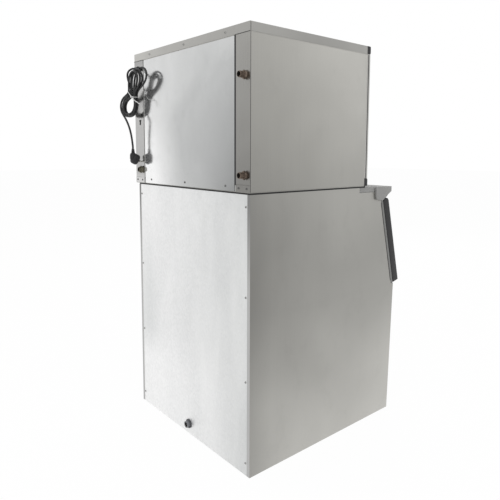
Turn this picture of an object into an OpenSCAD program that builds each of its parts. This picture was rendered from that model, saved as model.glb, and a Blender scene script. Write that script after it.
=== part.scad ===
// Flake ice machine: a closed ice-making head on an insulated storage bin.
// Millimetres. +Z is up, the front faces -Y, and the origin is the middle of the bin's base on the floor.
// Left and right are as seen by someone standing in front of the machine: left is -X.

/* [Storage bin] */
// Width of the bin over its side panels
bin_w = 743; // [700:1:752]
// Depth of the bin at the floor
bin_d = 775; // [750:1:840]
// Height of the bin's top rim
bin_h = 964; // [920:1:1040]
// Height of the knee below the door
knee_h = 549; // [500:1:600]
// How far the knee stands out past the floor line
knee_out = 20; // [8:1:36]
// Depth of the shoulder that the door frame stands on
knee_step = 16; // [14:1:20]
// Thickness of the insulated walls
wall = 42; // [36:1:56]
// Height of the liner's floor above the ground
floor_h = 60; // [56:1:90]
// Thickness of the moulded liner
liner_t = 3; // [2:0.5:4]
// Radius of the liner's corners
liner_r = 30; // [12:1:40]
// Thickness of the outer sheet metal
sheet = 1.2; // [0.8:0.1:1.5]
// Width of the folds along the sheet edges
fold = 14; // [10:1:16]
// Thickness of the seating gasket under the head
gasket_t = 8; // [5:0.5:12]

/* [Door] */
// Lean of the door from the vertical, in degrees
door_lean = 13.5; // [11:0.5:15]
// Thickness of the door
door_t = 35; // [30:1:36]
// Wall thickness of the door shell
door_wall = 3; // [2.5:0.5:4]
// Thickness of the moulded door frame
frame_t = 14; // [10:1:15]
// Gap between the door frame and the closed door
door_gap = 4; // [3:0.5:6]
// Height of the hinge axis below the bin's top rim
hinge_drop = 65; // [63:1:74]
// Radius of the hinge pins
pin_r = 5; // [4:0.5:6]
// Depth of the hinge pins inside the door
pin_depth = 24; // [15:1:40]

/* [Front canopy] */
// How far the canopy stands out in front of the hinge axis
canopy_reach = 20; // [18:1:30]
// Height of the canopy's front face
canopy_face = 20; // [14:1:24]
// Wall thickness of the canopy
canopy_wall = 4; // [3:0.5:5]
// How far the canopy's top plate reaches under the head
canopy_lap = 33; // [28:1:40]

/* [Ice-making head] */
// Width of the head
head_w = 760; // [754:1:800]
// Depth of the head with its front trims
head_d = 598; // [590:1:630]
// Height of the head with its lid
head_h = 531; // [510:1:580]
// Height of the lid's rim
lid_h = 30; // [22:1:40]
// Width of the rear corner posts
post_w = 72; // [64:1:76]
// Width of the groove between a post and the rear panel
post_gap = 8; // [5:1:10]
// Depth of the front panel's folded edges
front_depth = 17; // [14:1:22]
// How far the front trims stand proud of the front panel
trim_proud = 2; // [1:0.5:4]
// Height of the front trims
trim_h = 29; // [20:1:36]
// Thickness of the base tray
tray_t = 1.5; // [1:0.1:2]
// Height of the base tray's edges and of the post foot plates
tray_edge = 20; // [15:1:26]

/* [Water connections] */
// Outer radius of a connection's spout
spout_r = 10.5; // [9:0.5:12]
// Bore radius of a connection
spout_bore = 8.5; // [6:0.5:8.5]
// How far a connection stands out of its post
spout_out = 21; // [18:1:30]
// Height of the low connections above the head's base
low_spout_h = 55; // [40:1:80]
// Height of the upper connection above the head's base
high_spout_h = 370; // [300:1:420]
// Distance of the left connections from the head's corner
left_spout_in = 22; // [19:1:30]
// Distance of the right connection from the head's corner
right_spout_in = 52; // [45:1:54]

/* [Bin drain] */
// Outer radius of the drain spout
drain_r = 13; // [10:0.5:13.5]
// Bore radius of the drain spout
drain_bore = 8.5; // [6:0.5:9]
// Height of the drain spout above the floor
drain_h = 40; // [32:1:42]
// How far the drain spout stands out of the rear panel
drain_out = 15; // [12:1:30]

/* [Freezing unit] */
// Bore radius of the freezing barrel
barrel_r = 50; // [46:0.5:54]
// Wall thickness of the freezing barrel
barrel_t = 7; // [5:0.5:9]
// Height of the freezing barrel
barrel_h = 225; // [200:1:230]
// Core radius of the auger
core_r = 22; // [20:0.5:26]
// Pitch of the auger's flight
flight_pitch = 45; // [35:1:60]
// Half thickness of the flight, as an angle on its core
flight_half = 8; // [5:1:12]
// Thickness of the barrel's insulation
lagging_t = 25; // [15:1:30]
// Height of the gearbox
gearbox_h = 95; // [85:1:100]
// Radius of the drive motor
motor_r = 56; // [45:1:58]
// Mean radius of the condenser coil
coil_r = 105; // [90:1:108]
// Radius of the condenser tube
coil_tube = 13; // [10:0.5:14]
// Turns of the condenser coil
coil_turns = 4; // [3:1:5]
// Radius of the compressor shell
comp_r = 95; // [80:1:98]
// Height of the compressor shell
comp_h = 250; // [200:1:270]

/* [Fits] */
// Radial running clearance of shafts and pins
run_fit = 0.05; // [0.02:0.01:0.09]
// Clearance between pieces that are set in beside each other
set_fit = 0.3; // [0.2:0.05:0.5]
// Clearance of the door's ends from the hinge ears
end_fit = 1; // [0.5:0.1:2]
// Clearance of the flight from the barrel's bore
flight_fit = 0.6; // [0.4:0.1:1]
// Open joint around the lid and the canopy's skirts
open_joint = 1.8; // [1:0.1:2.5]
// Gap between the outer sheet and the insulation
board_gap = 4; // [3.8:0.1:5]

/* [Hidden] */
$fn = 48;
eps = 0.01;

// Bin levels and faces
bin_x = bin_w / 2;
bin_back = bin_d / 2;
bin_front = -bin_d / 2;
knee_y = bin_front - knee_out;
function front_y(z) = bin_front - knee_out * z / knee_h;
function slope_y(z) = knee_y + knee_step + (z - knee_h) * tan(door_lean);
inner_x = bin_x - wall;
inner_back = bin_back - wall;
board_out = bin_x - sheet - board_gap;
board_in = inner_x + liner_t + set_fit;
board_top = bin_h - canopy_wall - set_fit;

// Door and hinge
hinge_z = bin_h - hinge_drop;
door_off = frame_t + door_gap + door_t / 2;
hinge_y = slope_y(hinge_z) - door_off / cos(door_lean);
ear_t = 10;
ear_r = 13;
ear_in = 26;
door_foot = 6;
door_x = bin_x - end_fit;
door_len = (hinge_z - knee_h - door_foot) / cos(door_lean);
seal_t = door_gap - set_fit;
seal_w = 14;
pin_tail = 16;

// Canopy section
canopy_front = hinge_y - canopy_reach;
rail_t = 8;
lip_y = hinge_y - 1;
lip_z = hinge_z + 34;
tip_z = hinge_z + 8;
tip_y = slope_y(tip_z) - set_fit;
header_bottom = hinge_z - 3;
header_top = bin_h - canopy_wall;
skirt_z = bin_h - 18;
cap_back = hinge_y + 82;
cap_drop = 50;

// Head levels and faces
over = (head_w - bin_w) / 2;
head_x = head_w / 2;
head_z = bin_h + gasket_t;
head_top = head_z + head_h;
lid_z = head_top - lid_h;
head_back = bin_back + over;
head_front = head_back - head_d;
panel_front = head_front + trim_proud + front_depth;
face_front = head_front + trim_proud;
canopy_rear = head_front + canopy_lap;
header_rear = canopy_rear + canopy_wall;
post_in = head_x - post_w;
tray_top = head_z + tray_t;
post_depth = 26;
foot_t = 1.5;

// Freezing unit, stacked from the tray
chute_depth = 99;
chute_front = header_rear + 8;
chute_back = chute_front + chute_depth;
ice_head_r = barrel_r + 16;
nozzle_len = 42;
evap_y = chute_back + ice_head_r + nozzle_len;
gear_w = 150;
gear_d = 130;
gear_foot = 24;
gear_foot_t = 14;
seal_h = 30;
barrel_z = tray_top + gearbox_h + seal_h;
barrel_top = barrel_z + barrel_h;
ice_head_h = 65;
flange_r = barrel_r + barrel_t + 13;
flange_h = 8;
lower_shaft_r = 16;
upper_shaft_r = 15;
motor_z = tray_top + motor_r + 4;
motor_len = 170;
stub_len = 34;
stub_r = 6;

// Ice chute
chute_w = 150;
chute_wall = 3;
chute_top = barrel_top + ice_head_h - 5;
chute_bottom = bin_h - 9;
nozzle_w = 90;
nozzle_z = barrel_top + 5;
nozzle_h = 45;

// Float tank
tank_x = head_x - 250;
tank_w = 140;
tank_d = 100;
tank_y = panel_front + 43;
tank_z = tray_top + 235;
tank_h = 100;
tank_wall = 3;
shelf_t = 2;
bracket_in = 20;
bracket_foot = 40;
float_y = tank_y + tank_d / 2;
float_z = tank_z + tank_h - 15;
float_x = tank_x + tank_w - 24;
float_arm_len = 72;
float_r = 17;
float_drop = 20;
float_pin_r = 2;
valve_end = tank_x + tank_w + 12;

// Compressor and condenser
comp_x = head_x - 165;
comp_y = head_back - 191;
foot_h = 12;
comp_plate = 3;
comp_z = tray_top + foot_h + comp_plate;
coil_x = -head_x + 155;
coil_y = head_back - 151;
coil_z = tray_top + coil_tube + set_fit;
coil_pitch = 2 * coil_tube + 4;
coil_top = coil_z + coil_pitch * coil_turns;
copper_r = 5;
hose_r = 8;
line_gap = 0.4;
port_len = 14;
discharge_in = 40;
discharge_drop = 80;
tank_stub = 12;
tank_stub_h = 15;
spout_in = 30;
drier_neck = 12;
box_w = 200;
box_d = 110;
box_h = 190;
box_in = 135;
box_back = 80;
drier_x = -30;
drier_y = head_back - 146;
drier_r = 22;
drier_h = 110;
drier_z = tray_top + 60;

// Power switch
switch_x = -head_x + 90;
switch_z = lid_z - 55;
switch_w = 30;
switch_hh = 24;
rocker_r = 9.5;
rocker_w = 20;
rocker_y = face_front + 3;
rocker_pin = 1.5;

// Mains lead, along points chosen by hand
cord_r = 4;
rear_corner = [head_x, head_back, head_z];
gland_x = head_x - 35;
gland_z = head_z + 468;
gland_len = 20;
hank_y = head_back + 12;
hank_t = 26;
hank_waist = [head_x - 43, head_z + 365];
hank_lobes = [[64, -51, 41], [21, -48, 43], [-29, 58, 45]];
lead_steps = [[-35, 20, 468], [-35, 26, 468], [-34.8, 34.5, 466.8], [-33.6, 42.5, 462.8],
    [-31.2, 49.2, 456.4], [-28, 53.6, 447.6], [-24.6, 55.2, 437], [-21.4, 54, 425.5], [-18.7, 50, 414],
    [-16.7, 43.5, 402.5], [-15.5, 35, 392], [-14.4, 25.6, 382], [-11.5, 19, 373], [-3, 17, 363]];
tail_steps = [[53.5, 35, 307], [44, 36, 294], [28.5, 37, 280], [11, 38, 263], [-6, 38, 241], [-21.5, 38, 217],
    [-34, 38, 193], [-41.5, 38, 170], [-45, 38, 154], [-46, 38, 141]];
lead_points = [for (p = lead_steps) rear_corner + p];
tail_points = [for (p = tail_steps) rear_corner + p];
plug_x = head_x - 46;
plug_y = head_back + 31;
plug_z = head_z + 99;
plug_r = 21.5;
plug_t = 26;
plug_lean = 25;
plug_neck_y = head_back + 38;
plug_neck_top = head_z + 141;

// Shared shapes

// Box between two corners
module block(low, high) {
    translate(low) cube(high - low);
}

// Section drawn in Y and Z, drawn out along X
module along_x(x0, length) {
    translate([x0, 0, 0]) rotate([90, 0, 90]) linear_extrude(length) children();
}

// Section drawn in X and Z, drawn out along +Y
module along_y(y0, length) {
    translate([0, y0 + length, 0]) rotate([90, 0, 0]) linear_extrude(length) children();
}

module rod_x(x0, length, r, y, z) {
    translate([x0, y, z]) rotate([0, 90, 0]) cylinder(h = length, r = r);
}

module rod_y(y0, length, r, x, z) {
    translate([x, y0, z]) rotate([-90, 0, 0]) cylinder(h = length, r = r);
}

module hex_y(y0, length, flats, x, z) {
    translate([x, y0, z]) rotate([-90, 0, 0]) cylinder(h = length, r = flats / 2 / cos(30), $fn = 6);
}

// Rectangle with round corners
module rounded_rect(w, d, r) {
    square([w - 2 * r, d], center = true);
    square([w, d - 2 * r], center = true);
    for (sx = [-1, 1], sy = [-1, 1])
        translate([sx * (w / 2 - r), sy * (d / 2 - r)]) circle(r);
}

// Screw with a round head on a face that looks along +Y
module pan_screw(x, y, z, shank) {
    rod_y(y, 2, 4, x, z);
    rod_y(y - shank, shank, 1.8, x, z);
}

// Smooth tube through a list of points
function curve(p, n) = [for (i = [0 : len(p) - 2], k = [0 : n - 1])
        spline(p[max(i - 1, 0)], p[i], p[i + 1], p[min(i + 2, len(p) - 1)], k / n), p[len(p) - 1]];
function spline(a, b, c, d, t) =
    0.5 * (2 * b + (c - a) * t + (2 * a - 5 * b + 4 * c - d) * t * t + (3 * b - a - 3 * c + d) * t * t * t);
function unit(v) = v / norm(v);
function tangent(p, i) = unit(p[min(i + 1, len(p) - 1)] - p[max(i - 1, 0)]);
function ring(p, i, r, sides, ref) =
    let (t = tangent(p, i), a = unit(cross(t, ref)), b = cross(t, a))
        [for (k = [0 : sides - 1]) p[i] + r * (a * cos(360 * k / sides) + b * sin(360 * k / sides))];
module tube(p, r, sides = 10, ref = [0.31, 0.52, 0.8]) {
    last = len(p) - 1;
    points = [for (i = [0 : last], q = ring(p, i, r, sides, ref)) q];
    walls = [for (i = [0 : last - 1], k = [0 : sides - 1])
        let (a = i * sides + k, b = i * sides + (k + 1) % sides) each [[a, a + sides, b],
            [b, a + sides, b + sides]]];
    start = [for (k = [0 : sides - 1]) k];
    end = [for (k = [sides - 1 : -1 : 0]) last * sides + k];
    polyhedron(points, concat(walls, [start, end]));
}

// Storage bin

// Outline of a side panel, with the notch for the canopy's skirt
module side_outline() {
    polygon([[bin_back, 0], [bin_back, bin_h], [canopy_rear + open_joint, bin_h],
        [canopy_rear + open_joint, skirt_z - open_joint],
        [slope_y(skirt_z), skirt_z - open_joint], [slope_y(knee_h), knee_h], [knee_y, knee_h],
            [bin_front, 0]]);
}

// Side panel with its rear and top folds, on the -X side
module bin_side() {
    along_x(-bin_x, sheet) side_outline();
    block([-bin_x, bin_back - sheet, 0], [-bin_x + fold, bin_back, bin_h]);
    block([-bin_x, canopy_rear + open_joint, bin_h - sheet], [-bin_x + fold, bin_back, bin_h]);
}

module bin_side_left() {
    color("silver") bin_side();
}

module bin_side_right() {
    color("silver") mirror([1, 0, 0]) bin_side();
}

bin_screw_x = bin_x - 21.5;
bin_screw_z = [0.046, 0.344, 0.646, 0.958] * bin_h;

module bin_back_panel() {
    color("gainsboro") difference() {
        union() {
            block([-bin_x + fold + set_fit, bin_back - sheet, 0],
                [bin_x - fold - set_fit, bin_back, bin_h]);
            block([-bin_x + fold + set_fit, bin_back - fold, bin_h - sheet],
                [bin_x - fold - set_fit, bin_back, bin_h]);
        }
        for (sx = [-1, 1], z = bin_screw_z)
            rod_y(bin_back - 2 * sheet, 3 * sheet, 2, sx * bin_screw_x, z);
        rod_y(bin_back - 2 * sheet, 3 * sheet, drain_r + set_fit, 0, drain_h);
    }
}

module bin_front_panel() {
    color("silver") along_x(-bin_x + sheet + set_fit, 2 * (bin_x - sheet - set_fit)) {
        polygon([[bin_front, 0], [knee_y, knee_h], [knee_y + sheet, knee_h], [bin_front + sheet, 0]]);
        polygon([[knee_y, knee_h], [slope_y(knee_h) - set_fit, knee_h],
            [slope_y(knee_h) - set_fit, knee_h - sheet], [knee_y, knee_h - sheet]]);
    }
}

module bin_base_plate() {
    color("darkgray") block([-bin_x + sheet + set_fit, bin_front + sheet + set_fit, 0],
        [bin_x - sheet - set_fit, bin_back - sheet - set_fit, sheet]);
}

// Insulated header over the door mouth
module front_header() {
    color("lightgray") along_x(-inner_x - liner_t, 2 * (inner_x + liner_t))
        polygon([[header_rear, header_bottom], [header_rear, header_top],
            [slope_y(header_top), header_top], [slope_y(header_bottom), header_bottom]]);
}

// Section of the ice store, open above and towards the door
store_ceiling = header_bottom - liner_t - set_fit;
store_rear = header_rear + liner_t + set_fit;
module store_section() {
    polygon([[inner_back, bin_h + 2 * liner_r], [inner_back, floor_h], [front_y(floor_h) + wall, floor_h],
        [front_y(knee_h) + wall, knee_h - liner_t], [slope_y(store_ceiling) + liner_t, store_ceiling],
        [store_rear, store_ceiling], [store_rear, bin_h + 2 * liner_r]]);
}

module rounded_store() {
    offset(r = liner_r, $fn = 32) offset(delta = -liner_r) store_section();
}

// Moulded tub with a rim that lies on the insulation
module bin_liner() {
    rim = 24;
    rim_t = 2;
    color("whitesmoke") {
        difference() {
            along_x(-inner_x - liner_t, 2 * (inner_x + liner_t)) offset(delta = liner_t) rounded_store();
            along_x(-inner_x, 2 * inner_x) rounded_store();
            block([-bin_x, bin_front - wall, board_top + rim_t], [bin_x, bin_back, bin_h + 3 * liner_r]);
            translate([0, drain_sump_y, floor_h - wall]) cylinder(h = 2 * wall, r = drain_bore);
            along_x(-inner_x - 2 * liner_t, 2 * (inner_x + 2 * liner_t))
                polygon([[front_y(knee_h) + wall + liner_r, knee_h - liner_t],
                    [slope_y(knee_h) - wall, knee_h - liner_t],
                    [slope_y(header_bottom) - wall, header_bottom],
                        [slope_y(header_bottom) + liner_r + liner_t, header_bottom]]);
        }
        difference() {
            block([-inner_x - rim, store_rear, board_top], [inner_x + rim, inner_back + rim,
                board_top + rim_t]);
            block([-inner_x - liner_t / 2, store_rear - 1, board_top - 1],
                [inner_x + liner_t / 2, inner_back + liner_t / 2, board_top + rim_t + 1]);
        }
    }
}

// Five boards that fill the walls between liner and sheet
module insulation_boards() {
    board_front = front_y(0) + sheet + board_gap;
    back_face = bin_back - sheet - board_gap;
    color("khaki") {
        for (side = [0, 1]) mirror([side, 0, 0])
            along_x(-board_out, board_out - board_in)
                polygon([[back_face, sheet + set_fit], [back_face, board_top],
                    [slope_y(board_top) + set_fit, board_top],
                    [slope_y(knee_h) + set_fit, knee_h - 2 * sheet],
                        [front_y(knee_h) + sheet + board_gap, knee_h - 2 * sheet],
                    [board_front, sheet + set_fit]]);
        difference() {
            block([-board_in + set_fit, inner_back + liner_t + set_fit, sheet + set_fit],
                [board_in - set_fit, back_face, board_top]);
            rod_y(inner_back, 2 * wall, drain_r + set_fit, 0, drain_h);
        }
        along_x(-board_in + set_fit, 2 * (board_in - set_fit))
            polygon([[board_front, sheet + set_fit], [front_y(knee_h) + sheet + board_gap,
                knee_h - 2 * sheet],
                [front_y(knee_h) + wall - liner_t - set_fit, knee_h - 2 * sheet],
                [front_y(0) + wall - liner_t - set_fit, sheet + set_fit]]);
        difference() {
            block([-board_in + set_fit, front_y(0) + wall - liner_t, sheet + set_fit],
                [board_in - set_fit, inner_back + liner_t, floor_h - liner_t - set_fit]);
            rod_y(drain_sump_y - drain_r - set_fit, 3 * wall, drain_r + set_fit, 0, drain_h);
            translate([0, drain_sump_y, drain_h]) cylinder(h = wall, r = drain_r + set_fit);
        }
    }
}

// Things drawn in the plane of the door: local Z runs up the slope and local -Y faces out
module on_slope() {
    translate([0, slope_y(knee_h), knee_h]) rotate([-door_lean, 0, 0]) children();
}

frame_len = (hinge_z + 7 - knee_h) / cos(door_lean);
mouth_low = 16;

// Moulded ring around the door mouth
module door_frame() {
    color("gray") on_slope() difference() {
        block([-bin_x, -frame_t, 0], [bin_x, 0, frame_len]);
        block([-inner_x + liner_t, -frame_t - 1, mouth_low],
            [inner_x - liner_t, 1, (header_bottom - liner_t - knee_h) / cos(door_lean)]);
    }
}

module hood_region() {
    polygon([[slope_y(bin_h) - set_fit, bin_h], [canopy_front, bin_h], [canopy_front, bin_h - canopy_face],
        [lip_y, lip_z], [tip_y, tip_z]]);
}

// Hollow moulded canopy with a top plate, side skirts and end caps
module front_canopy() {
    color("darkgray") {
        along_x(-bin_x, bin_w) difference() {
            union() {
                hood_region();
                polygon([[canopy_rear, bin_h], [slope_y(bin_h) - canopy_wall, bin_h],
                    [slope_y(header_top) - canopy_wall, header_top], [canopy_rear, header_top]]);
            }
            offset(delta = -canopy_wall) hood_region();
        }
        for (side = [0, 1]) mirror([side, 0, 0]) {
            block([-bin_x, cap_back, skirt_z], [-bin_x + canopy_wall - 0.5, canopy_rear, header_top + eps]);
            along_x(-head_x, over)
                polygon([[cap_back, bin_h], [canopy_front, bin_h], [canopy_front, bin_h - canopy_face],
                    [lip_y, lip_z],
                    [tip_y, tip_z], [cap_back - 6, bin_h - cap_drop]]);
        }
    }
}

// Points of the canopy's underside, where the hinge rail is fixed
rail_dir = [lip_y - tip_y, lip_z - tip_z] / norm([lip_y - tip_y, lip_z - tip_z]);
rail_normal = [rail_dir[1], -rail_dir[0]] * (rail_dir[0] < 0 ? -1 : 1);
rail_a = [tip_y, tip_z] + rail_dir * ear_r + rail_normal * set_fit;
rail_b = [lip_y, lip_z] - rail_dir + rail_normal * set_fit;

// Black rail under the canopy with two ears that reach into notches of the door
ear_x = bin_x - end_fit - ear_in;
module hinge_rail() {
    color("dimgray") {
        along_x(-bin_x, bin_w)
            polygon([rail_a, rail_b, rail_b + rail_normal * rail_t, rail_a + rail_normal * rail_t]);
        for (side = [0, 1]) mirror([side, 0, 0]) difference() {
            along_x(-ear_x, ear_t) {
                translate([hinge_y, hinge_z]) circle(ear_r);
                polygon([[hinge_y - ear_r, hinge_z], [hinge_y + ear_r, hinge_z],
                    rail_a + rail_normal * rail_t / 2, rail_b + rail_normal * rail_t / 2]);
            }
            rod_x(-ear_x - 1, ear_t + 2, pin_r + run_fit, hinge_y, hinge_z);
        }
    }
}

module hinge_pins() {
    color("silver") for (side = [0, 1]) mirror([side, 0, 0])
        rod_x(-ear_x - pin_tail, pin_tail + ear_t + pin_depth, pin_r, hinge_y, hinge_z);
}

// Things drawn on the door: the origin is the hinge axis and local -Z runs down the door
module on_door() {
    translate([0, hinge_y, hinge_z]) rotate([-door_lean, 0, 0]) children();
}

door_notch = ear_r + 8;

// Moulded shell, open at the back, with a round top and two notches for the ears
module door_panel() {
    grip_w = door_x;
    color("dimgray") on_door() difference() {
        union() {
            block([-door_x, -door_t / 2, -door_len], [door_x, door_t / 2, 0]);
            rod_x(-door_x, 2 * door_x, door_t / 2, 0, 0);
        }
        block([-door_x + door_wall, -door_t / 2 + door_wall, -door_len + door_wall],
            [door_x - door_wall, door_t / 2 + 1, -door_notch - door_wall]);
        block([-grip_w / 2, -door_t / 2 + 4 * door_wall, -door_len - 1],
            [grip_w / 2, door_t / 2 - 2 * door_wall, -door_len + door_wall + 1]);
        for (side = [0, 1]) mirror([side, 0, 0]) {
            block([-ear_x - end_fit, -door_t, -door_notch], [-ear_x + ear_t + end_fit, door_t, door_t]);
            rod_x(-ear_x - pin_tail - end_fit, pin_tail + ear_t + pin_depth + 2 * end_fit,
                pin_r + run_fit, 0, 0);
        }
    }
}

// Liner of the door, set in the back of the shell, with a raised field
module door_inner_panel() {
    inset = door_wall + set_fit;
    color("whitesmoke") on_door() {
        block([-door_x + inset, door_t / 2 - 12, -door_len + inset + 4],
            [door_x - inset, door_t / 2 - 1, -door_notch - inset]);
        block([-inner_x + 30, door_t / 2 - 2, -door_len + 50],
            [inner_x - 30, door_t / 2 + door_gap - 1, -door_notch - 45]);
    }
}

module door_seal() {
    seal_in = 20;
    color("black") on_door() difference() {
        block([-inner_x - seal_in, door_t / 2, -door_len + 4],
            [inner_x + seal_in, door_t / 2 + seal_t, -door_notch - 2]);
        block([-inner_x - seal_in + seal_w, door_t / 2 - 1, -door_len + 4 + seal_w],
            [inner_x + seal_in - seal_w, door_t / 2 + seal_t + 1, -door_notch - 2 - seal_w]);
    }
}

drain_sump_y = inner_back - 75;

// Elbow from the liner's floor to the rear panel, with a round nut outside
module drain_spout() {
    nut_t = 5;
    nut_rim = 4.5;
    color("dimgray") difference() {
        union() {
            translate([0, drain_sump_y, drain_h]) cylinder(h = floor_h - liner_t - set_fit - drain_h,
                r = drain_r);
            translate([0, drain_sump_y, drain_h]) sphere(drain_r);
            rod_y(drain_sump_y, bin_back + drain_out - drain_sump_y, drain_r, 0, drain_h);
            rod_y(bin_back, nut_t, drain_r + nut_rim, 0, drain_h);
        }
        translate([0, drain_sump_y, drain_h]) cylinder(h = wall, r = drain_bore);
        translate([0, drain_sump_y, drain_h]) sphere(drain_bore);
        rod_y(drain_sump_y, 2 * wall + drain_out + 60, drain_bore, 0, drain_h);
    }
}

// Slotted disc over the drain
module drain_strainer() {
    strainer_r = 26;
    slot_w = 3;
    slot_step = 7;
    color("lightgray") translate([0, drain_sump_y, floor_h]) difference() {
        cylinder(h = 3, r = strainer_r);
        for (i = [-2 : 2])
            block([-strainer_r * 0.6, i * slot_step - slot_w / 2, -1],
                [strainer_r * 0.6, i * slot_step + slot_w / 2, 4]);
    }
}

module bin_screws() {
    color("gray") for (sx = [-1, 1], z = bin_screw_z)
        pan_screw(sx * bin_screw_x, bin_back, z, 3);
}

// Ring that the head stands on
module head_gasket() {
    edge = 1;
    width = 34;
    color("black") difference() {
        block([-bin_x + edge, head_front + edge, bin_h], [bin_x - edge, bin_back - edge, head_z]);
        block([-bin_x + edge + width, canopy_rear - 6, bin_h - 1],
            [bin_x - edge - width, bin_back - edge - width, head_z + 1]);
    }
}

// Ice-making head

module base_tray() {
    outer = head_x - sheet - set_fit;
    front = panel_front + set_fit;
    back = head_back - sheet - set_fit;
    color("silver") difference() {
        block([-outer, front, head_z], [outer, back, head_z + tray_edge]);
        block([-outer + tray_t, front + tray_t, tray_top], [outer - tray_t, back - tray_t,
            head_z + tray_edge + 1]);
        block([-chute_w / 2 - set_fit, chute_front - set_fit, head_z - 1],
            [chute_w / 2 + set_fit, chute_back + set_fit, tray_top + 1]);
    }
}

// Side panel with folds along its top and front, on the -X side
module side_panel() {
    rear = head_back - sheet - set_fit;
    top = lid_z - open_joint;
    color("silver") {
        block([-head_x, panel_front, head_z], [-head_x + sheet, rear, top]);
        block([-head_x, panel_front, top - sheet], [-head_x + fold, rear - post_depth, top]);
        block([-head_x, panel_front, head_z + tray_edge + 2], [-head_x + fold, panel_front + sheet, top]);
    }
}

module side_panel_left() {
    side_panel();
}

module side_panel_right() {
    mirror([1, 0, 0]) side_panel();
}

// Rear corner post: a folded channel with a foot plate, on the -X side
module post_blank() {
    top = lid_z - set_fit;
    block([-head_x, head_back - sheet, head_z], [-post_in, head_back, top]);
    block([-post_in - sheet, head_back - post_depth, head_z + tray_edge + 2], [-post_in, head_back, top]);
    block([-head_x + sheet + set_fit, head_back - post_depth, head_z + tray_edge + 2],
        [-head_x + 2 * sheet + set_fit, head_back, top]);
    block([-head_x, head_back, head_z], [-post_in, head_back + foot_t, head_z + tray_edge]);
}

foot_screw_x = [head_x - 15, head_x - 56];
foot_screw_z = head_z + 12;

module foot_screw_holes() {
    for (x = foot_screw_x)
        rod_y(head_back - 4, 8, 2, -x, foot_screw_z);
}

module corner_post_left() {
    color("silver") difference() {
        post_blank();
        for (h = [low_spout_h, high_spout_h])
            rod_y(head_back - 4, 8, spout_r + set_fit, -head_x + left_spout_in, head_z + h);
        foot_screw_holes();
    }
}

slot_w = 4;
slot_h = 21;
slot_x = head_x - 42;
slot_z = head_z + 250;

module corner_post_right() {
    color("silver") difference() {
        mirror([1, 0, 0]) post_blank();
        rod_y(head_back - 4, 8, spout_r + set_fit, head_x - right_spout_in, head_z + low_spout_h);
        rod_y(head_back - 4, 8, cord_r + 3 + set_fit, gland_x, gland_z);
        block([slot_x - slot_w / 2, head_back - 4, slot_z - slot_h / 2],
            [slot_x + slot_w / 2, head_back + 4, slot_z + slot_h / 2]);
        mirror([1, 0, 0]) foot_screw_holes();
    }
}

back_half = post_in - post_gap;
back_screw_x = [-1, 0, 1] * (back_half - 49);
back_screw_z = head_z + 16;

module back_panel() {
    top = lid_z - open_joint;
    color("gainsboro") difference() {
        union() {
            block([-back_half, head_back - sheet, head_z + set_fit], [back_half, head_back, top]);
            for (side = [0, 1]) mirror([side, 0, 0])
                block([-back_half, head_back - fold, head_z + tray_edge + 2],
                    [-back_half + sheet, head_back, top]);
        }
        for (x = back_screw_x)
            rod_y(head_back - 4, 8, 2, x, back_screw_z);
    }
}

module back_panel_seals() {
    color("black") for (side = [0, 1]) mirror([side, 0, 0])
        block([-post_in + set_fit / 2, head_back - fold, head_z + tray_edge + 2],
            [-back_half - set_fit / 2, head_back - 2 * sheet, lid_z - open_joint]);
}

lid_screw_x = back_screw_x;

// Lid folded down on all four sides
module top_lid() {
    color("silver") difference() {
        block([-head_x, panel_front, lid_z], [head_x, head_back, head_top]);
        block([-head_x + sheet, panel_front + sheet, lid_z - 1],
            [head_x - sheet, head_back - sheet, head_top - sheet]);
        for (x = lid_screw_x)
            rod_y(head_back - 4, 8, 2, x, lid_z + lid_h / 2);
        for (sx = [-1, 1])
            translate([sx * head_x, head_back - sheet - open_joint / 2, lid_z + lid_h / 2 - sheet])
                cube([3 * sheet, open_joint, lid_h], center = true);
    }
}

// Front panel folded back on all four sides
module front_panel() {
    low = head_z + trim_h + set_fit;
    high = head_top - trim_h - set_fit;
    color("silver") difference() {
        block([-head_x, face_front, low], [head_x, panel_front - set_fit, high]);
        block([-head_x + sheet, face_front + sheet, low + sheet],
            [head_x - sheet, panel_front, high - sheet]);
        block([switch_x - switch_w / 2 + 2, face_front - 1, switch_z - switch_hh / 2 + 2],
            [switch_x + switch_w / 2 - 2, face_front + sheet + 1, switch_z + switch_hh / 2 - 2]);
    }
}

// Moulded bars across the head's front, above and below the front panel
module front_trims() {
    nose = 5;
    depth = panel_front - set_fit - head_front;
    color("black") for (z = [head_z, head_top - trim_h])
        along_x(-head_x, head_w) translate([head_front, z]) {
            translate([nose, 0]) square([depth - nose, trim_h]);
            translate([0, nose]) square([nose + eps, trim_h - 2 * nose]);
            for (zz = [nose, trim_h - nose]) translate([nose, zz]) circle(nose);
        }
}

module head_screws() {
    color("gray") {
        for (x = back_screw_x)
            pan_screw(x, head_back, back_screw_z, sheet);
        for (x = lid_screw_x)
            pan_screw(x, head_back, lid_z + lid_h / 2, sheet);
        for (side = [-1, 1], x = foot_screw_x)
            pan_screw(side * x, head_back + foot_t, foot_screw_z, foot_t + sheet);
    }
}

// Brass bulkhead connection with a washer, a hexagon and an open spout
module bulkhead(x, z) {
    color("darkgoldenrod") difference() {
        union() {
            rod_y(head_back, 3, spout_r + 2.5, x, z);
            hex_y(head_back + 3, 10, 2 * spout_r + 5, x, z);
            rod_y(head_back - spout_in, spout_out + spout_in, spout_r, x, z);
        }
        rod_y(head_back - spout_in - 1, spout_out + spout_in + 2, spout_bore, x, z);
    }
}

module water_inlet_fitting() {
    bulkhead(head_x - right_spout_in, head_z + low_spout_h);
}

module condenser_inlet_fitting() {
    bulkhead(-head_x + left_spout_in, head_z + low_spout_h);
}

module condenser_outlet_fitting() {
    bulkhead(-head_x + left_spout_in, head_z + high_spout_h);
}

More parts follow.
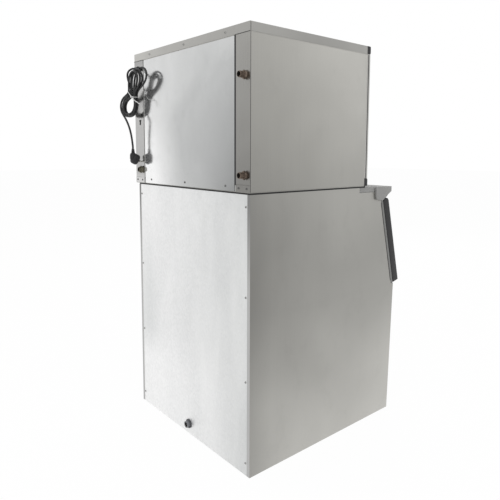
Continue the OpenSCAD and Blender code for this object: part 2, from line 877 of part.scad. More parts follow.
// Bezel and body of the power switch
module switch_housing() {
    bezel_t = 2.5;
    body_depth = 16;
    color("black") difference() {
        union() {
            block([switch_x - switch_w / 2, face_front - bezel_t, switch_z - switch_hh / 2],
                [switch_x + switch_w / 2, face_front, switch_z + switch_hh / 2]);
            block([switch_x - switch_w / 2 + 2 + set_fit, face_front - eps,
                switch_z - switch_hh / 2 + 2 + set_fit],
                [switch_x + switch_w / 2 - 2 - set_fit, face_front + body_depth,
                    switch_z + switch_hh / 2 - 2 - set_fit]);
        }
        rod_x(switch_x - rocker_w / 2 - set_fit, rocker_w + 2 * set_fit, rocker_r + set_fit, rocker_y,
            switch_z);
        rod_x(switch_x - rocker_w / 2 - 2 - set_fit, rocker_w + 4 + 2 * set_fit, rocker_pin + run_fit,
            rocker_y, switch_z);
    }
}

// Rocker with a shallow V face, turned so that its lower half is pressed in
module switch_rocker() {
    tilt = 8;
    face = 6;
    color("darkred") {
        along_x(switch_x - rocker_w / 2, rocker_w) intersection() {
            translate([rocker_y, switch_z]) circle(rocker_r);
            translate([rocker_y, switch_z]) rotate(tilt)
                polygon([[-face, 0], [-face - 3, -2 * rocker_r], [rocker_r, -2 * rocker_r],
                    [rocker_r, 2 * rocker_r], [-face - 3, 2 * rocker_r]]);
        }
        rod_x(switch_x - rocker_w / 2 - 1.7, rocker_w + 3.4, rocker_pin, rocker_y, switch_z);
    }
}

// Freezing unit

module gearbox() {
    color("dimgray") translate([0, evap_y, 0]) difference() {
        union() {
            translate([0, 0, tray_top]) linear_extrude(gear_foot_t) rounded_rect(gear_w,
                gear_d + 2 * gear_foot, 12);
            translate([0, 0, tray_top]) linear_extrude(gearbox_h) rounded_rect(gear_w, gear_d, 20);
        }
        translate([0, 0, tray_top + 35]) cylinder(h = gearbox_h, r = lower_shaft_r + run_fit);
        for (sx = [-1, 1], sy = [-1, 1])
            translate([sx * (gear_w / 2 - 15), sy * (gear_d + gear_foot) / 2, tray_top - 1])
                cylinder(h = 2 * gear_foot_t, r = 4.5);
    }
}

// Ribbed motor on the gearbox's left face
module drive_motor() {
    ribs = 9;
    rib_step = 14;
    rib_h = 3;
    color("gray") translate([-gear_w / 2, evap_y, motor_z]) rotate([0, -90, 0]) {
        cylinder(h = 10, r = motor_r);
        cylinder(h = motor_len, r = motor_r - rib_h);
        for (i = [0 : ribs - 1])
            translate([0, 0, 20 + i * rib_step]) cylinder(h = 7, r = motor_r);
        translate([0, 0, motor_len - eps]) cylinder(h = 14, r1 = motor_r - rib_h, r2 = motor_r - 14);
    }
}

module seal_housing() {
    color("silver") translate([0, evap_y, tray_top + gearbox_h]) difference() {
        union() {
            cylinder(h = flange_h, r = flange_r);
            cylinder(h = seal_h, r = flange_r - 16);
            translate([0, 0, seal_h - flange_h]) cylinder(h = flange_h, r = flange_r);
        }
        translate([0, 0, -1]) cylinder(h = seal_h + 2, r = lower_shaft_r + run_fit);
    }
}

liquid_stub_z = barrel_z + 26;
suction_stub_z = barrel_top - 30;
stub_x = barrel_r + barrel_t + stub_len;

// Stainless barrel with end flanges and pipe stubs
module evaporator_barrel() {
    color("silver") translate([0, evap_y, 0]) difference() {
        union() {
            translate([0, 0, barrel_z]) cylinder(h = barrel_h, r = barrel_r + barrel_t);
            for (z = [barrel_z, barrel_top - flange_h])
                translate([0, 0, z]) cylinder(h = flange_h, r = flange_r);
            rod_x(barrel_r + 2, stub_x - barrel_r - 2, stub_r, 0, liquid_stub_z);
            rod_x(barrel_r + 2, stub_x - barrel_r - 2, stub_r, 0, suction_stub_z);
            rod_y(barrel_r + 2, stub_x - barrel_r - 2, stub_r + 3, 0, liquid_stub_z);
        }
        translate([0, 0, barrel_z - 1]) cylinder(h = barrel_h + 2, r = barrel_r);
    }
}

module barrel_insulation() {
    color("black") translate([0, evap_y, 0]) difference() {
        translate([0, 0, barrel_z + flange_h + set_fit])
            cylinder(h = barrel_h - 2 * (flange_h + set_fit), r = barrel_r + barrel_t + lagging_t);
        translate([0, 0, barrel_z]) cylinder(h = barrel_h, r = barrel_r + barrel_t + set_fit);
        rod_x(0, 2 * stub_x, stub_r + set_fit, 0, liquid_stub_z);
        rod_x(0, 2 * stub_x, stub_r + set_fit, 0, suction_stub_z);
        rod_y(0, 2 * stub_x, stub_r + 3 + set_fit, 0, liquid_stub_z);
    }
}

// Auger core with its lower and upper shafts and the breaker bar
module auger_shaft() {
    vane = barrel_r - 6;
    color("silver") translate([0, evap_y, 0]) {
        translate([0, 0, tray_top + 40]) cylinder(h = barrel_z - tray_top - 38 + eps, r = lower_shaft_r);
        translate([0, 0, barrel_z + 2]) cylinder(h = barrel_h, r = core_r);
        translate([0, 0, barrel_top]) cylinder(h = ice_head_h - 3, r = upper_shaft_r);
        block([-vane, -5, barrel_top + 12], [vane, 5, barrel_top + 30]);
    }
}

// Helical flight around the core
module auger_flight() {
    rise = barrel_h - 8;
    inner = core_r - 0.6;
    outer = barrel_r - flight_fit;
    tip_half = flight_half * 0.4;
    color("lightsteelblue") translate([0, evap_y, barrel_z + 4])
        linear_extrude(rise, twist = -360 * rise / flight_pitch, slices = round(24 * rise / flight_pitch),
            $fn = 6)
            polygon(concat(
                [for (a = [-flight_half : flight_half : flight_half]) inner * [cos(a), sin(a)]],
                [for (a = [tip_half : -tip_half : -tip_half]) outer * [cos(a), sin(a)]]));
}

// Breaker housing with the upper bearing and the spout to the chute
module ice_head() {
    chamber_h = ice_head_h - 20;
    color("lightgray") translate([0, evap_y, barrel_top]) difference() {
        union() {
            cylinder(h = ice_head_h, r = ice_head_r);
            cylinder(h = flange_h, r = flange_r);
            block([-nozzle_w / 2, chute_back + set_fit - evap_y, nozzle_z - barrel_top],
                [nozzle_w / 2, 0, nozzle_z - barrel_top + nozzle_h]);
        }
        translate([0, 0, -1]) cylinder(h = chamber_h + 1, r = barrel_r);
        translate([0, 0, -1]) cylinder(h = ice_head_h + 2, r = upper_shaft_r + run_fit);
        block([-nozzle_w / 2 + chute_wall, chute_back - evap_y - 1, nozzle_z - barrel_top + chute_wall],
            [nozzle_w / 2 - chute_wall, -barrel_r / 2, nozzle_z - barrel_top + nozzle_h - chute_wall]);
    }
}

// Duct that drops the ice through the tray into the bin
module ice_chute() {
    rim = 10;
    color("whitesmoke") difference() {
        union() {
            block([-chute_w / 2, chute_front, chute_bottom], [chute_w / 2, chute_back, chute_top]);
            block([-chute_w / 2 - rim, chute_front - rim / 2, tray_top],
                [chute_w / 2 + rim, chute_back + rim / 2, tray_top + chute_wall]);
        }
        block([-chute_w / 2 + chute_wall, chute_front + chute_wall, chute_bottom - 1],
            [chute_w / 2 - chute_wall, chute_back - chute_wall, chute_top - chute_wall]);
        block([-nozzle_w / 2 + chute_wall, chute_back - 2 * chute_wall, nozzle_z + chute_wall],
            [nozzle_w / 2 - chute_wall, chute_back + 1, nozzle_z + nozzle_h - chute_wall]);
    }
}

// Open tank that keeps the water level of the barrel
module water_tank() {
    tank_out = tank_x - tank_stub;
    color("whitesmoke") difference() {
        union() {
            block([tank_x, tank_y, tank_z], [tank_x + tank_w, tank_y + tank_d, tank_z + tank_h]);
            rod_x(tank_out, tank_stub + tank_wall - 1, hose_r, float_y, tank_z + tank_stub_h);
        }
        block([tank_x + tank_wall, tank_y + tank_wall, tank_z + tank_wall],
            [tank_x + tank_w - tank_wall, tank_y + tank_d - tank_wall, tank_z + tank_h + 1]);
        rod_x(tank_out - 1, tank_stub + tank_wall + 2, hose_r - 2, float_y, tank_z + tank_stub_h);
        rod_x(tank_x + tank_w - 10, 20, 7 + set_fit, float_y, float_z);
    }
}

// Folded bracket that carries the tank
module tank_bracket() {
    back = tank_y + tank_d + shelf_t;
    color("silver") along_x(tank_x + bracket_in, tank_w - 2 * bracket_in) {
        translate([tank_y, tank_z - shelf_t]) square([back - tank_y, shelf_t]);
        translate([back - shelf_t, tray_top]) square([shelf_t, tank_z - tray_top]);
        translate([back - bracket_foot, tray_top]) square([bracket_foot, shelf_t]);
    }
}

// Brass inlet valve with a fork for the float arm
module float_valve() {
    fork_out = 9;
    color("darkgoldenrod") {
        difference() {
            union() {
                rod_x(float_x + 6, valve_end - float_x - 6, 7, float_y, float_z);
                rod_x(tank_x + tank_w, 6, 11, float_y, float_z);
            }
            rod_x(tank_x + tank_w - 8, 40, 4, float_y, float_z);
        }
        for (sy = [-1, 1])
            block([float_x - 5, float_y + sy * 7.5 - 1.5, float_z - 5],
                [float_x + 8, float_y + sy * 7.5 + 1.5, float_z + 5]);
        rod_y(float_y - fork_out, 2 * fork_out, float_pin_r, float_x, float_z);
    }
}

// Arm and float, resting low in the empty tank
module float_arm() {
    color("orange") translate([float_x, float_y, float_z]) rotate([0, -float_drop, 0]) difference() {
        union() {
            rod_y(-5, 10, 5, 0, 0);
            rod_x(-float_arm_len, float_arm_len - 3, 2.5, 0, 0);
            rod_y(-18, 36, float_r, -float_arm_len, 0);
        }
        rod_y(-6, 12, float_pin_r + run_fit, 0, 0);
    }
}

comp_foot_x = 88;
comp_foot_y = 62;
suction_port_z = comp_z + 165;

// Hermetic compressor with a domed shell and a foot plate
module compressor() {
    dome = 55;
    color("black") translate([comp_x, comp_y, 0]) {
        translate([0, 0, comp_z]) rotate_extrude()
            polygon(concat([[0, 0], [comp_r - 12, 0], [comp_r, 12]],
                [for (a = [0 : 10 : 90]) [comp_r * cos(a), comp_h - dome + dome * sin(a)]]));
        difference() {
            translate([0, 0, comp_z - comp_plate]) linear_extrude(comp_plate)
                rounded_rect(2 * comp_foot_x + 24, 2 * comp_foot_y + 24, 11);
            for (sx = [-1, 1], sy = [-1, 1])
                translate([sx * comp_foot_x, sy * comp_foot_y, comp_z - 10]) cylinder(h = 20, r = 5);
        }
        rod_x(-comp_r - port_len, 2 * port_len, stub_r, 0, suction_port_z);
        rod_x(-comp_r - port_len, 2 * port_len + 10, copper_r, discharge_in, suction_port_z - discharge_drop);
    }
}

module compressor_feet() {
    color("dimgray") for (sx = [-1, 1], sy = [-1, 1])
        translate([comp_x + sx * comp_foot_x, comp_y + sy * comp_foot_y, tray_top]) {
            cylinder(h = foot_h, r = 11);
            cylinder(h = foot_h + comp_plate + 4, r = 5 - set_fit);
        }
}

// Coaxial water-cooled condenser: a round coil of thick tube
module condenser_coil() {
    steps = 20;
    coil = [for (i = [0 : steps * coil_turns])
        let (a = 180 + 360 * i / steps)
            [coil_x + coil_r * cos(a), coil_y + coil_r * sin(a), coil_z + coil_pitch * i / steps]];
    color("peru") tube(concat([[coil_x - coil_r, coil_y + coil_tube, coil_z]], coil,
        [[coil_x - coil_r, coil_y - coil_tube, coil_top]]), coil_tube, 10, [0, 0, 1]);
}

module filter_drier() {
    neck = drier_neck;
    color("peru") translate([drier_x, drier_y, drier_z]) {
        cylinder(h = drier_h, r = drier_r);
        translate([0, 0, drier_h - eps]) cylinder(h = neck, r1 = drier_r, r2 = copper_r + 1);
        translate([0, 0, -neck + eps]) cylinder(h = neck, r1 = copper_r + 1, r2 = drier_r);
    }
}

// Copper lines between compressor, condenser, drier and barrel
module refrigerant_lines() {
    port_x = comp_x - comp_r - port_len - line_gap;
    discharge_y = comp_y + discharge_in;
    discharge_z = suction_port_z - discharge_drop;
    coil_port = [coil_x + coil_r, coil_y, coil_top - coil_pitch / 2 + coil_tube + 2 * line_gap];
    drier_top = [drier_x, drier_y, drier_z + drier_h + drier_neck + line_gap];
    drier_low = [drier_x, drier_y, drier_z - drier_neck - line_gap];
    coil_low = [coil_x + coil_r + coil_tube + 2 * line_gap, coil_y + copper_r, coil_z + coil_pitch / 2];
    stub_end = stub_x + line_gap;
    run = 4 * copper_r;
    color("peru") {
        tube(curve([[port_x, discharge_y, discharge_z], [port_x - run / 2, discharge_y, discharge_z],
            [port_x - run, discharge_y, discharge_z],
            [port_x - 3 * run, comp_y + 4 * run, discharge_z + 2 * run],
            [drier_x + run, comp_y + 5 * run, suction_port_z],
            [drier_x - 2 * run, coil_y + 2 * run, coil_port[2] + 3.5 * run],
            coil_port + [0, 0, 2 * run], coil_port + [0, 0, run / 2], coil_port], 4), copper_r, 8);
        tube(curve([coil_low, coil_low + [run / 2, 0, 0], coil_low + [run, 0, 0],
            drier_low + [-run / 2, 0, -1.6 * run],
            drier_low + [0, 0, -run], drier_low + [0, 0, -run / 2], drier_low], 3),
            copper_r, 8, [0.2, 0.9, 0.1]);
        tube(curve([drier_top, drier_top + [0, 0, run / 2], drier_top + [0, 0, run],
            drier_top + [run, -run, 2 * run],
            [comp_x - comp_r - run, comp_y - 2 * run, liquid_stub_z + 4 * run],
            [stub_end + 2 * run, evap_y + 3.5 * run, liquid_stub_z + 1.5 * run],
            [stub_end + 2 * run, evap_y + run, liquid_stub_z],
            [stub_end + run, evap_y, liquid_stub_z], [stub_end + run / 2, evap_y, liquid_stub_z],
            [stub_end, evap_y, liquid_stub_z]], 3), copper_r, 8);
        tube(curve([[stub_end, evap_y, suction_stub_z], [stub_end + run / 2, evap_y, suction_stub_z],
            [stub_end + run, evap_y, suction_stub_z],
            [stub_end + 1.5 * run, evap_y + 1.5 * run, suction_stub_z - run],
            [port_x - 1.3 * run, comp_y - 3 * run, suction_port_z + 2 * run],
            [port_x - 1.5 * run, comp_y - run / 2, suction_port_z],
            [port_x - run, comp_y, suction_port_z], [port_x - run / 2, comp_y, suction_port_z],
            [port_x, comp_y, suction_port_z]], 3), stub_r, 8);
    }
}

// Hoses: tank to barrel, water inlet to float valve, and both condenser connections to the coil
module water_lines() {
    inner_y = head_back - spout_in - line_gap;
    low_z = head_z + low_spout_h;
    high_z = head_z + high_spout_h;
    left_x = -head_x + left_spout_in;
    right_x = head_x - right_spout_in;
    coil_start = [coil_x - coil_r, coil_y + coil_tube + line_gap, coil_z];
    coil_end = [coil_x - coil_r, coil_y - coil_tube - line_gap, coil_top];
    tank_port = [tank_x - tank_stub - line_gap, float_y, tank_z + tank_stub_h];
    barrel_port = [0, evap_y + stub_x + line_gap, liquid_stub_z];
    valve_port = [valve_end + line_gap, float_y, float_z];
    run = 2 * hose_r;
    color("gray") {
        tube(curve([tank_port, tank_port - [run / 2, 0, 0], tank_port - [run, 0, 0],
            tank_port + [-1.6 * run, run / 4, -2 * run],
            [tank_x - run / 2, float_y + 2.5 * run, barrel_z + 2 * run],
            [tank_x + run / 2, evap_y, barrel_z - 2 * run],
            [tank_x - 1.3 * run, evap_y + 5.6 * run, liquid_stub_z - 2 * run],
            barrel_port + [2.5 * run, 2 * run, -run / 2], barrel_port + [0, run, 0],
            barrel_port + [0, run / 2, 0], barrel_port], 4), hose_r, 10);
        tube(curve([[right_x, inner_y, low_z], [right_x, inner_y - run / 2, low_z],
            [right_x, inner_y - run, low_z],
            [head_x - 2.2 * run, inner_y - 4 * run, low_z + run],
            [head_x - 1.8 * run, comp_y, tray_top + 7 * run],
            [head_x - 1.8 * run, evap_y - 2 * run, tank_z], [head_x - 2.5 * run, float_y + run, float_z],
            valve_port + [2 * run, 0, 0], valve_port + [run / 2, 0, 0], valve_port], 4), hose_r, 10);
        tube(curve([[left_x, inner_y, low_z], [left_x, inner_y - run / 2, low_z],
            [left_x, inner_y - run, low_z],
            [left_x + run, coil_y + 4.4 * run, coil_z + 1.4 * run], coil_start + [0, 2 * run, 0],
            coil_start + [0, run / 2, 0], coil_start], 4), hose_r, 10);
        tube(curve([[left_x, inner_y, high_z], [left_x, inner_y - run / 2, high_z],
            [left_x, inner_y - run, high_z],
            [left_x + run / 3, coil_y + run / 2, high_z - 2.5 * run],
            [left_x + run / 2, coil_y - 5.6 * run, (high_z + coil_top) / 2],
            [left_x + run, coil_y - 5.6 * run, coil_top + 2.7 * run], coil_end + [0, -2 * run, 0],
            coil_end - [0, run / 2, 0], coil_end], 4), hose_r, 10);
    }
}

// Closed box for the electric controls
module control_box() {
    lap = 3;
    color("gainsboro") translate([-head_x + box_in, panel_front + box_back, tray_top]) {
        linear_extrude(box_h) rounded_rect(box_w, box_d, 2 * lap);
        translate([0, 0, box_h]) linear_extrude(shelf_t) rounded_rect(box_w + 2 * lap, box_d + 2 * lap,
            3 * lap);
    }
}

// Mains lead

// Bushing and tapered sleeve where the cord leaves the post
module cable_gland() {
    color("black") {
        rod_y(head_back, 8, 11, gland_x, gland_z);
        rod_y(head_back - 8, 8 + eps, cord_r + 3, gland_x, gland_z);
        translate([gland_x, head_back + 8 - eps, gland_z]) rotate([-90, 0, 0])
            cylinder(h = gland_len - 8, r1 = 9, r2 = cord_r + 1.2);
    }
}

module power_cord() {
    color("black") {
        tube(curve(lead_points, 3), cord_r, 8, [0.1, 0.35, 1]);
        tube(curve(tail_points, 3), cord_r, 8, [0, 1, 0.05]);
    }
}

// Outer shape of the tied hank: three round lobes that meet at the waist
module cord_hank() {
    waist_r = 22;
    color("black") along_y(hank_y, hank_t) {
        for (lobe = hank_lobes)
            hull() {
                translate(hank_waist) circle(waist_r, $fn = 32);
                translate(hank_waist + [lobe[0], lobe[1]]) circle(lobe[2], $fn = 32);
            }
        hull() for (lobe = [hank_lobes[0], hank_lobes[1]])
            translate(hank_waist + [lobe[0], lobe[1]]) circle(lobe[2] - 1, $fn = 32);
    }
}

// Angled round plug with two pins; it hangs with its face tipped down
module plug() {
    neck_r = 7;
    collar_h = 10;
    pin_len = 17;
    pin_space = 19;
    color("black") {
        on_plug() rod_y(-plug_t / 2, plug_t, plug_r, 0, 0);
        translate([plug_x, plug_neck_y, plug_z]) cylinder(h = plug_neck_top - plug_z - collar_h, r1 = 13,
            r2 = neck_r);
        translate([plug_x, plug_neck_y, plug_neck_top - collar_h - eps])
            cylinder(h = collar_h, r = neck_r + 1);
    }
    color("silver") on_plug() for (sx = [-1, 1])
        rod_y(-plug_t / 2 - pin_len, pin_len + 1, 2.4, sx * pin_space / 2, 0);
}

module on_plug() {
    translate([plug_x, plug_y, plug_z]) rotate([plug_lean, 0, 0]) children();
}

bin_side_left();
bin_side_right();
bin_back_panel();
bin_front_panel();
bin_base_plate();
front_header();
bin_liner();
insulation_boards();
door_frame();
front_canopy();
hinge_rail();
hinge_pins();
door_panel();
door_inner_panel();
door_seal();
drain_spout();
drain_strainer();
bin_screws();
head_gasket();
base_tray();
side_panel_left();
side_panel_right();
corner_post_left();
corner_post_right();
back_panel();
back_panel_seals();
top_lid();
front_panel();
front_trims();
head_screws();
water_inlet_fitting();
condenser_inlet_fitting();
condenser_outlet_fitting();
switch_housing();
switch_rocker();
gearbox();
drive_motor();
seal_housing();
evaporator_barrel();
barrel_insulation();
auger_shaft();
auger_flight();
ice_head();
ice_chute();
water_tank();
tank_bracket();
float_valve();
float_arm();
compressor();
compressor_feet();
condenser_coil();
filter_drier();
refrigerant_lines();
water_lines();
control_box();
cable_gland();
power_cord();
cord_hank();
plug();
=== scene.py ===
import math
import random
import bpy
import bmesh
from mathutils import Matrix, Vector


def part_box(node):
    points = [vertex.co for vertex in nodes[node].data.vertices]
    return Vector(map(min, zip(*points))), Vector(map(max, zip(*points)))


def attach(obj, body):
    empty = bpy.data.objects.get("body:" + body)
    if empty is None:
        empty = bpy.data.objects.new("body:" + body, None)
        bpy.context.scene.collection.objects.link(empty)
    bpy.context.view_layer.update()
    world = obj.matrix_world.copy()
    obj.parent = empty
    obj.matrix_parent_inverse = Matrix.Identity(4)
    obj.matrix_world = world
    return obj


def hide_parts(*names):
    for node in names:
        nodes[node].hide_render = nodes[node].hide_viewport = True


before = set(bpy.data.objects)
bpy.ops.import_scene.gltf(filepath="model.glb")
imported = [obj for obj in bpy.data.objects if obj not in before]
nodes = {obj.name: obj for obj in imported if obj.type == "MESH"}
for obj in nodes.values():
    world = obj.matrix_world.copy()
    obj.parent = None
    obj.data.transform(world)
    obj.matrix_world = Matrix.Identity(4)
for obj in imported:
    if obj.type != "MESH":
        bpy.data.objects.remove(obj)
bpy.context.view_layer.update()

scene = bpy.context.scene
scene.view_settings.view_transform = "Standard"

# rear faces of the head's panel, of its corner posts and of the bin, in metres
HEAD_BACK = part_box("back_panel")[1].y
POST_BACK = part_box("corner_post_left")[1].y
BIN_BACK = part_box("bin_back_panel")[1].y

# ---- camera: solved from the box edges in the photograph ----
PHOTO_PX = 500
FOCAL_PX = 515.3
CENTRE_PX = (-7.4, -43.6)
SENSOR_MM = 36
CAMERA_AT = (-1.635, 1.437, 1.101)
YAW, PITCH, ROLL = (math.radians(a) for a in (130.52, -6.01, 0.26))


def add_camera():
    """Camera by its yaw, pitch and roll, with the picture's middle set off as in the photograph."""
    ahead = Vector((math.sin(YAW) * math.cos(PITCH), math.cos(YAW) * math.cos(PITCH), math.sin(PITCH)))
    right = Vector((math.cos(YAW), -math.sin(YAW), 0))
    up = right.cross(ahead)
    right, up = right * math.cos(ROLL) + up * math.sin(ROLL), up * math.cos(ROLL) - right * math.sin(ROLL)
    data = bpy.data.cameras.new("camera")
    data.sensor_width = SENSOR_MM
    data.lens = FOCAL_PX / PHOTO_PX * SENSOR_MM
    data.shift_x, data.shift_y = (c / PHOTO_PX for c in CENTRE_PX)
    data.clip_start, data.clip_end = 0.05, 60
    cam = bpy.data.objects.new("camera", data)
    scene.collection.objects.link(cam)
    cam.matrix_world = Matrix.Translation(CAMERA_AT) @ Matrix((right, up, -ahead)).transposed().to_4x4()
    scene.camera = cam


add_camera()


# ---- materials ----
def fill(node, sockets):
    """Sets constants on the named sockets of a node; an underscore stands for a space."""
    for k, v in sockets.items():
        node.inputs[k.replace("_", " ")].default_value = v
    return node


class Graph:
    """Short way to write a procedural material."""

    def __init__(self, name):
        self.mat = bpy.data.materials.new(name)
        self.mat.use_nodes = True
        self.t = self.mat.node_tree
        self.b = self.t.nodes["Principled BSDF"]
        self.co = self.node("ShaderNodeTexCoord").outputs

    def node(self, kind, **sockets):
        return fill(self.t.nodes.new(kind), sockets)

    def set(self, **sockets):
        fill(self.b, sockets)
        return self

    def link(self, a, b):
        self.t.links.new(a, b)

    def scaled(self, s):
        m = self.node("ShaderNodeMapping", Scale=s)
        self.link(self.co["Object"], m.inputs["Vector"])
        return m.outputs["Vector"]

    def noise(self, s, detail=3, rough=0.55, dist=0.0):
        n = self.node("ShaderNodeTexNoise", Scale=1, Detail=detail, Roughness=rough, Distortion=dist)
        self.link(self.scaled(s), n.inputs["Vector"])
        return n.outputs["Fac"]

    def flakes(self, s):
        """Three random values for each crystal of a cell pattern."""
        n = self.node("ShaderNodeTexVoronoi", Scale=1)
        self.link(self.scaled(s), n.inputs["Vector"])
        split = self.node("ShaderNodeSeparateColor")
        self.link(n.outputs["Color"], split.inputs[0])
        return split.outputs

    def ramp(self, fac, stops):
        r = self.node("ShaderNodeValToRGB")
        e = r.color_ramp.elements
        while len(e) < len(stops):
            e.new(0.5)
        for i, (p, c) in enumerate(stops):
            e[i].position = p
            e[i].color = (*c, 1)
        self.link(fac, r.inputs["Fac"])
        return r.outputs["Color"]

    def span(self, fac, lo, hi, a=0.3, b=0.7):
        """Carries the range a to b over to lo to hi, and holds the ends."""
        m = self.node("ShaderNodeMapRange", From_Min=a, From_Max=b, To_Min=lo, To_Max=hi)
        self.link(fac, m.inputs["Value"])
        return m.outputs["Result"]

    def axis(self, i, of="Object"):
        s = self.node("ShaderNodeSeparateXYZ")
        self.link(self.co[of], s.inputs[0])
        return s.outputs[i]

    def grey(self, value):
        c = self.node("ShaderNodeCombineColor")
        for i in range(3):
            self.link(value, c.inputs[i])
        return c.outputs[0]

    def math(self, op, a, b):
        m = self.node("ShaderNodeMath")
        m.operation = op
        for i, v in enumerate((a, b)):
            if isinstance(v, (int, float)):
                m.inputs[i].default_value = v
            else:
                self.link(v, m.inputs[i])
        return m.outputs[0]

    def mix(self, fac, a, b, mode="MIX"):
        m = self.node("ShaderNodeMix")
        m.data_type = "RGBA"
        m.blend_type = mode
        for sock, v in ((m.inputs[0], fac), (m.inputs[6], a), (m.inputs[7], b)):
            if isinstance(v, (int, float)):
                sock.default_value = v
            elif isinstance(v, tuple):
                sock.default_value = (*v, 1)
            else:
                self.link(v, sock)
        return m.outputs[2]

    def color(self, out):
        self.link(out, self.b.inputs["Base Color"])
        return self

    def rough(self, out):
        self.link(out, self.b.inputs["Roughness"])
        return self

    def bump(self, height, strength, distance):
        """Adds a bump on top of those set before."""
        n = self.node("ShaderNodeBump", Strength=strength, Distance=distance)
        self.link(height, n.inputs["Height"])
        if self.b.inputs["Normal"].is_linked:
            self.link(self.b.inputs["Normal"].links[0].from_socket, n.inputs["Normal"])
        self.link(n.outputs["Normal"], self.b.inputs["Normal"])
        return self


def shade(c, k):
    """Colour made darker or lighter by a factor."""
    return tuple(min(1.0, x * k) for x in c)


def brushed(name, col, rough, streak, cloud, painted_lifts=(), flange=None):
    """Brushed sheet: fine streaks, wide soft clouds and faint smudges.
    A lift (axis, from, to, tone, tone) is painted light and shade, a slow change of tone over the panel.
    A flange tone (low, high, from, to) is painted light and shade on the narrow fold that faces the back."""
    g = Graph(name).set(Metallic=1.0)
    fine = g.noise(streak, 4, 0.7)
    wide = g.noise((cloud, cloud, cloud), 2, 0.5, 0.4)
    spots = g.noise((14, 14, 9), 4, 0.65)
    base = g.ramp(wide, [(0.3, shade(col, 0.90)), (0.7, shade(col, 1.08))])
    # painted light and shade: each lift darkens or lightens the tone along one axis
    for axis, start, end, first, last in painted_lifts:
        base = g.mix(1.0, base, g.grey(g.span(g.axis(axis), first, last, start, end)), "MULTIPLY")
    # painted light and shade on the faces turned towards +Y, set by height
    if flange:
        turned = g.span(g.axis(1, "Normal"), 0.0, 1.0, 0.6, 0.8)
        base = g.mix(turned, base, g.grey(g.span(g.axis(2), *flange)))
    base = g.mix(0.5, base, g.ramp(fine, [(0.3, shade(col, 0.86)), (0.7, shade(col, 1.12))]), "SOFT_LIGHT")
    base = g.mix(g.span(spots, 0.0, 0.06, 0.55, 0.75), base, shade(col, 0.55))
    g.color(base)
    g.rough(g.math("ADD", g.span(fine, rough - 0.06, rough + 0.07), g.span(spots, -0.02, 0.04)))
    g.bump(fine, 0.05, 0.0003).bump(wide, 0.12, 0.004)
    return g.mat


M = {}
# head sides: painted light and shade, lighter towards -Y and towards the top
M["side"] = brushed("stainless_side", (0.404, 0.399, 0.380), 0.36, (260, 260, 3), 1.6,
                    ((1, -0.20, 0.40, 1.24, 0.94), (2, 0.97, 1.50, 0.80, 1.12)))
# bin sides: painted light and shade, lighter towards -Y, low down and at the top, darker at the rear edge; the fold
# facing +Y is painted lighter low and darker high
M["bin_side"] = brushed("stainless_bin_side", (0.366, 0.362, 0.346), 0.38, (260, 260, 3), 1.6,
                        ((1, -0.39, 0.39, 1.16, 0.90), (2, 0.22, 0.55, 1.30, 1.0), (2, 0.0, 0.25, 1.08, 1.0),
                         (2, 0.78, 0.96, 1.0, 1.06), (1, 0.29, 0.385, 1.0, 0.86)), flange=(0.51, 0.27, 0.66, 0.93))
# posts: painted light and shade, lighter towards the top; the right post's sheet is smoother and lighter, with a
# painted darker strip just under the lid, and its tone is lighter at its foot
M["post"] = brushed("stainless_post", (0.318, 0.314, 0.302), 0.3, (500, 500, 4), 3,
                    ((2, 0.97, 1.47, 0.86, 1.24),))
M["post_far"] = brushed("stainless_post_smooth", (0.49, 0.487, 0.482), 0.17, (60, 60, 4), 3,
                        ((2, 0.97, 1.47, 0.95, 1.08), (2, 1.425, 1.46, 1.0, 0.70), (2, 0.985, 1.015, 1.5, 1.0)))
# lid: painted light, lighter towards +X
M["lid"] = brushed("stainless_lid", (0.395, 0.391, 0.377), 0.36, (4, 420, 420), 2, ((0, -0.38, 0.38, 1.0, 1.36),))
M["front"] = brushed("stainless_front", (0.47, 0.465, 0.45), 0.34, (3, 400, 400), 1.8)
M["tray"] = brushed("zinc_tray", (0.5, 0.5, 0.49), 0.42, (40, 40, 40), 6)


def polished():
    """Smooth sheet with a film on it: near mirror, with faint clouds, rub marks and grain, and a painted reflection
    that is lighter towards +X, most of all low down, and a little lighter near the top.
    """
    g = Graph("stainless_polished").set(Metallic=0.9)
    wide = g.noise((3.2, 3.2, 3.2), 3, 0.5, 0.6)
    rub = g.noise((34, 34, 22), 5, 0.65, 0.5)
    fine = g.noise((700, 700, 60), 3, 0.6)
    # painted reflection: lighter towards +X, fading with height, and lighter near the top; the wide clouds add to it
    across = g.math("ADD", g.span(g.axis(0), -1.0, 1.0, -0.33, 0.31), g.span(g.axis(0), 0.0, 0.35, 0.06, 0.26))
    painted_reflection_fade = g.span(g.axis(2), 1.0, 0.12, 0.98, 1.46)
    tone = g.math("ADD", g.math("MULTIPLY", across, painted_reflection_fade), g.span(wide, -0.13, 0.13))
    tone = g.math("ADD", tone, g.span(g.axis(2), 0.0, 0.18, 1.24, 1.46))
    base = g.ramp(g.span(tone, 0.0, 1.0, -1.0, 1.0),
                  [(0.0, (0.262, 0.268, 0.266)), (0.5, (0.505, 0.512, 0.51)), (1.0, (0.93, 0.93, 0.93))])
    base = g.mix(g.span(rub, 0.0, 0.12, 0.52, 0.75), base, (0.36, 0.36, 0.355))
    g.color(base)
    g.rough(g.math("ADD", g.span(wide, 0.10, 0.15), g.span(rub, 0.0, 0.06, 0.45, 0.8)))
    g.bump(fine, 0.03, 0.0002).bump(wide, 0.1, 0.003)
    return g.mat


M["polished"] = polished()


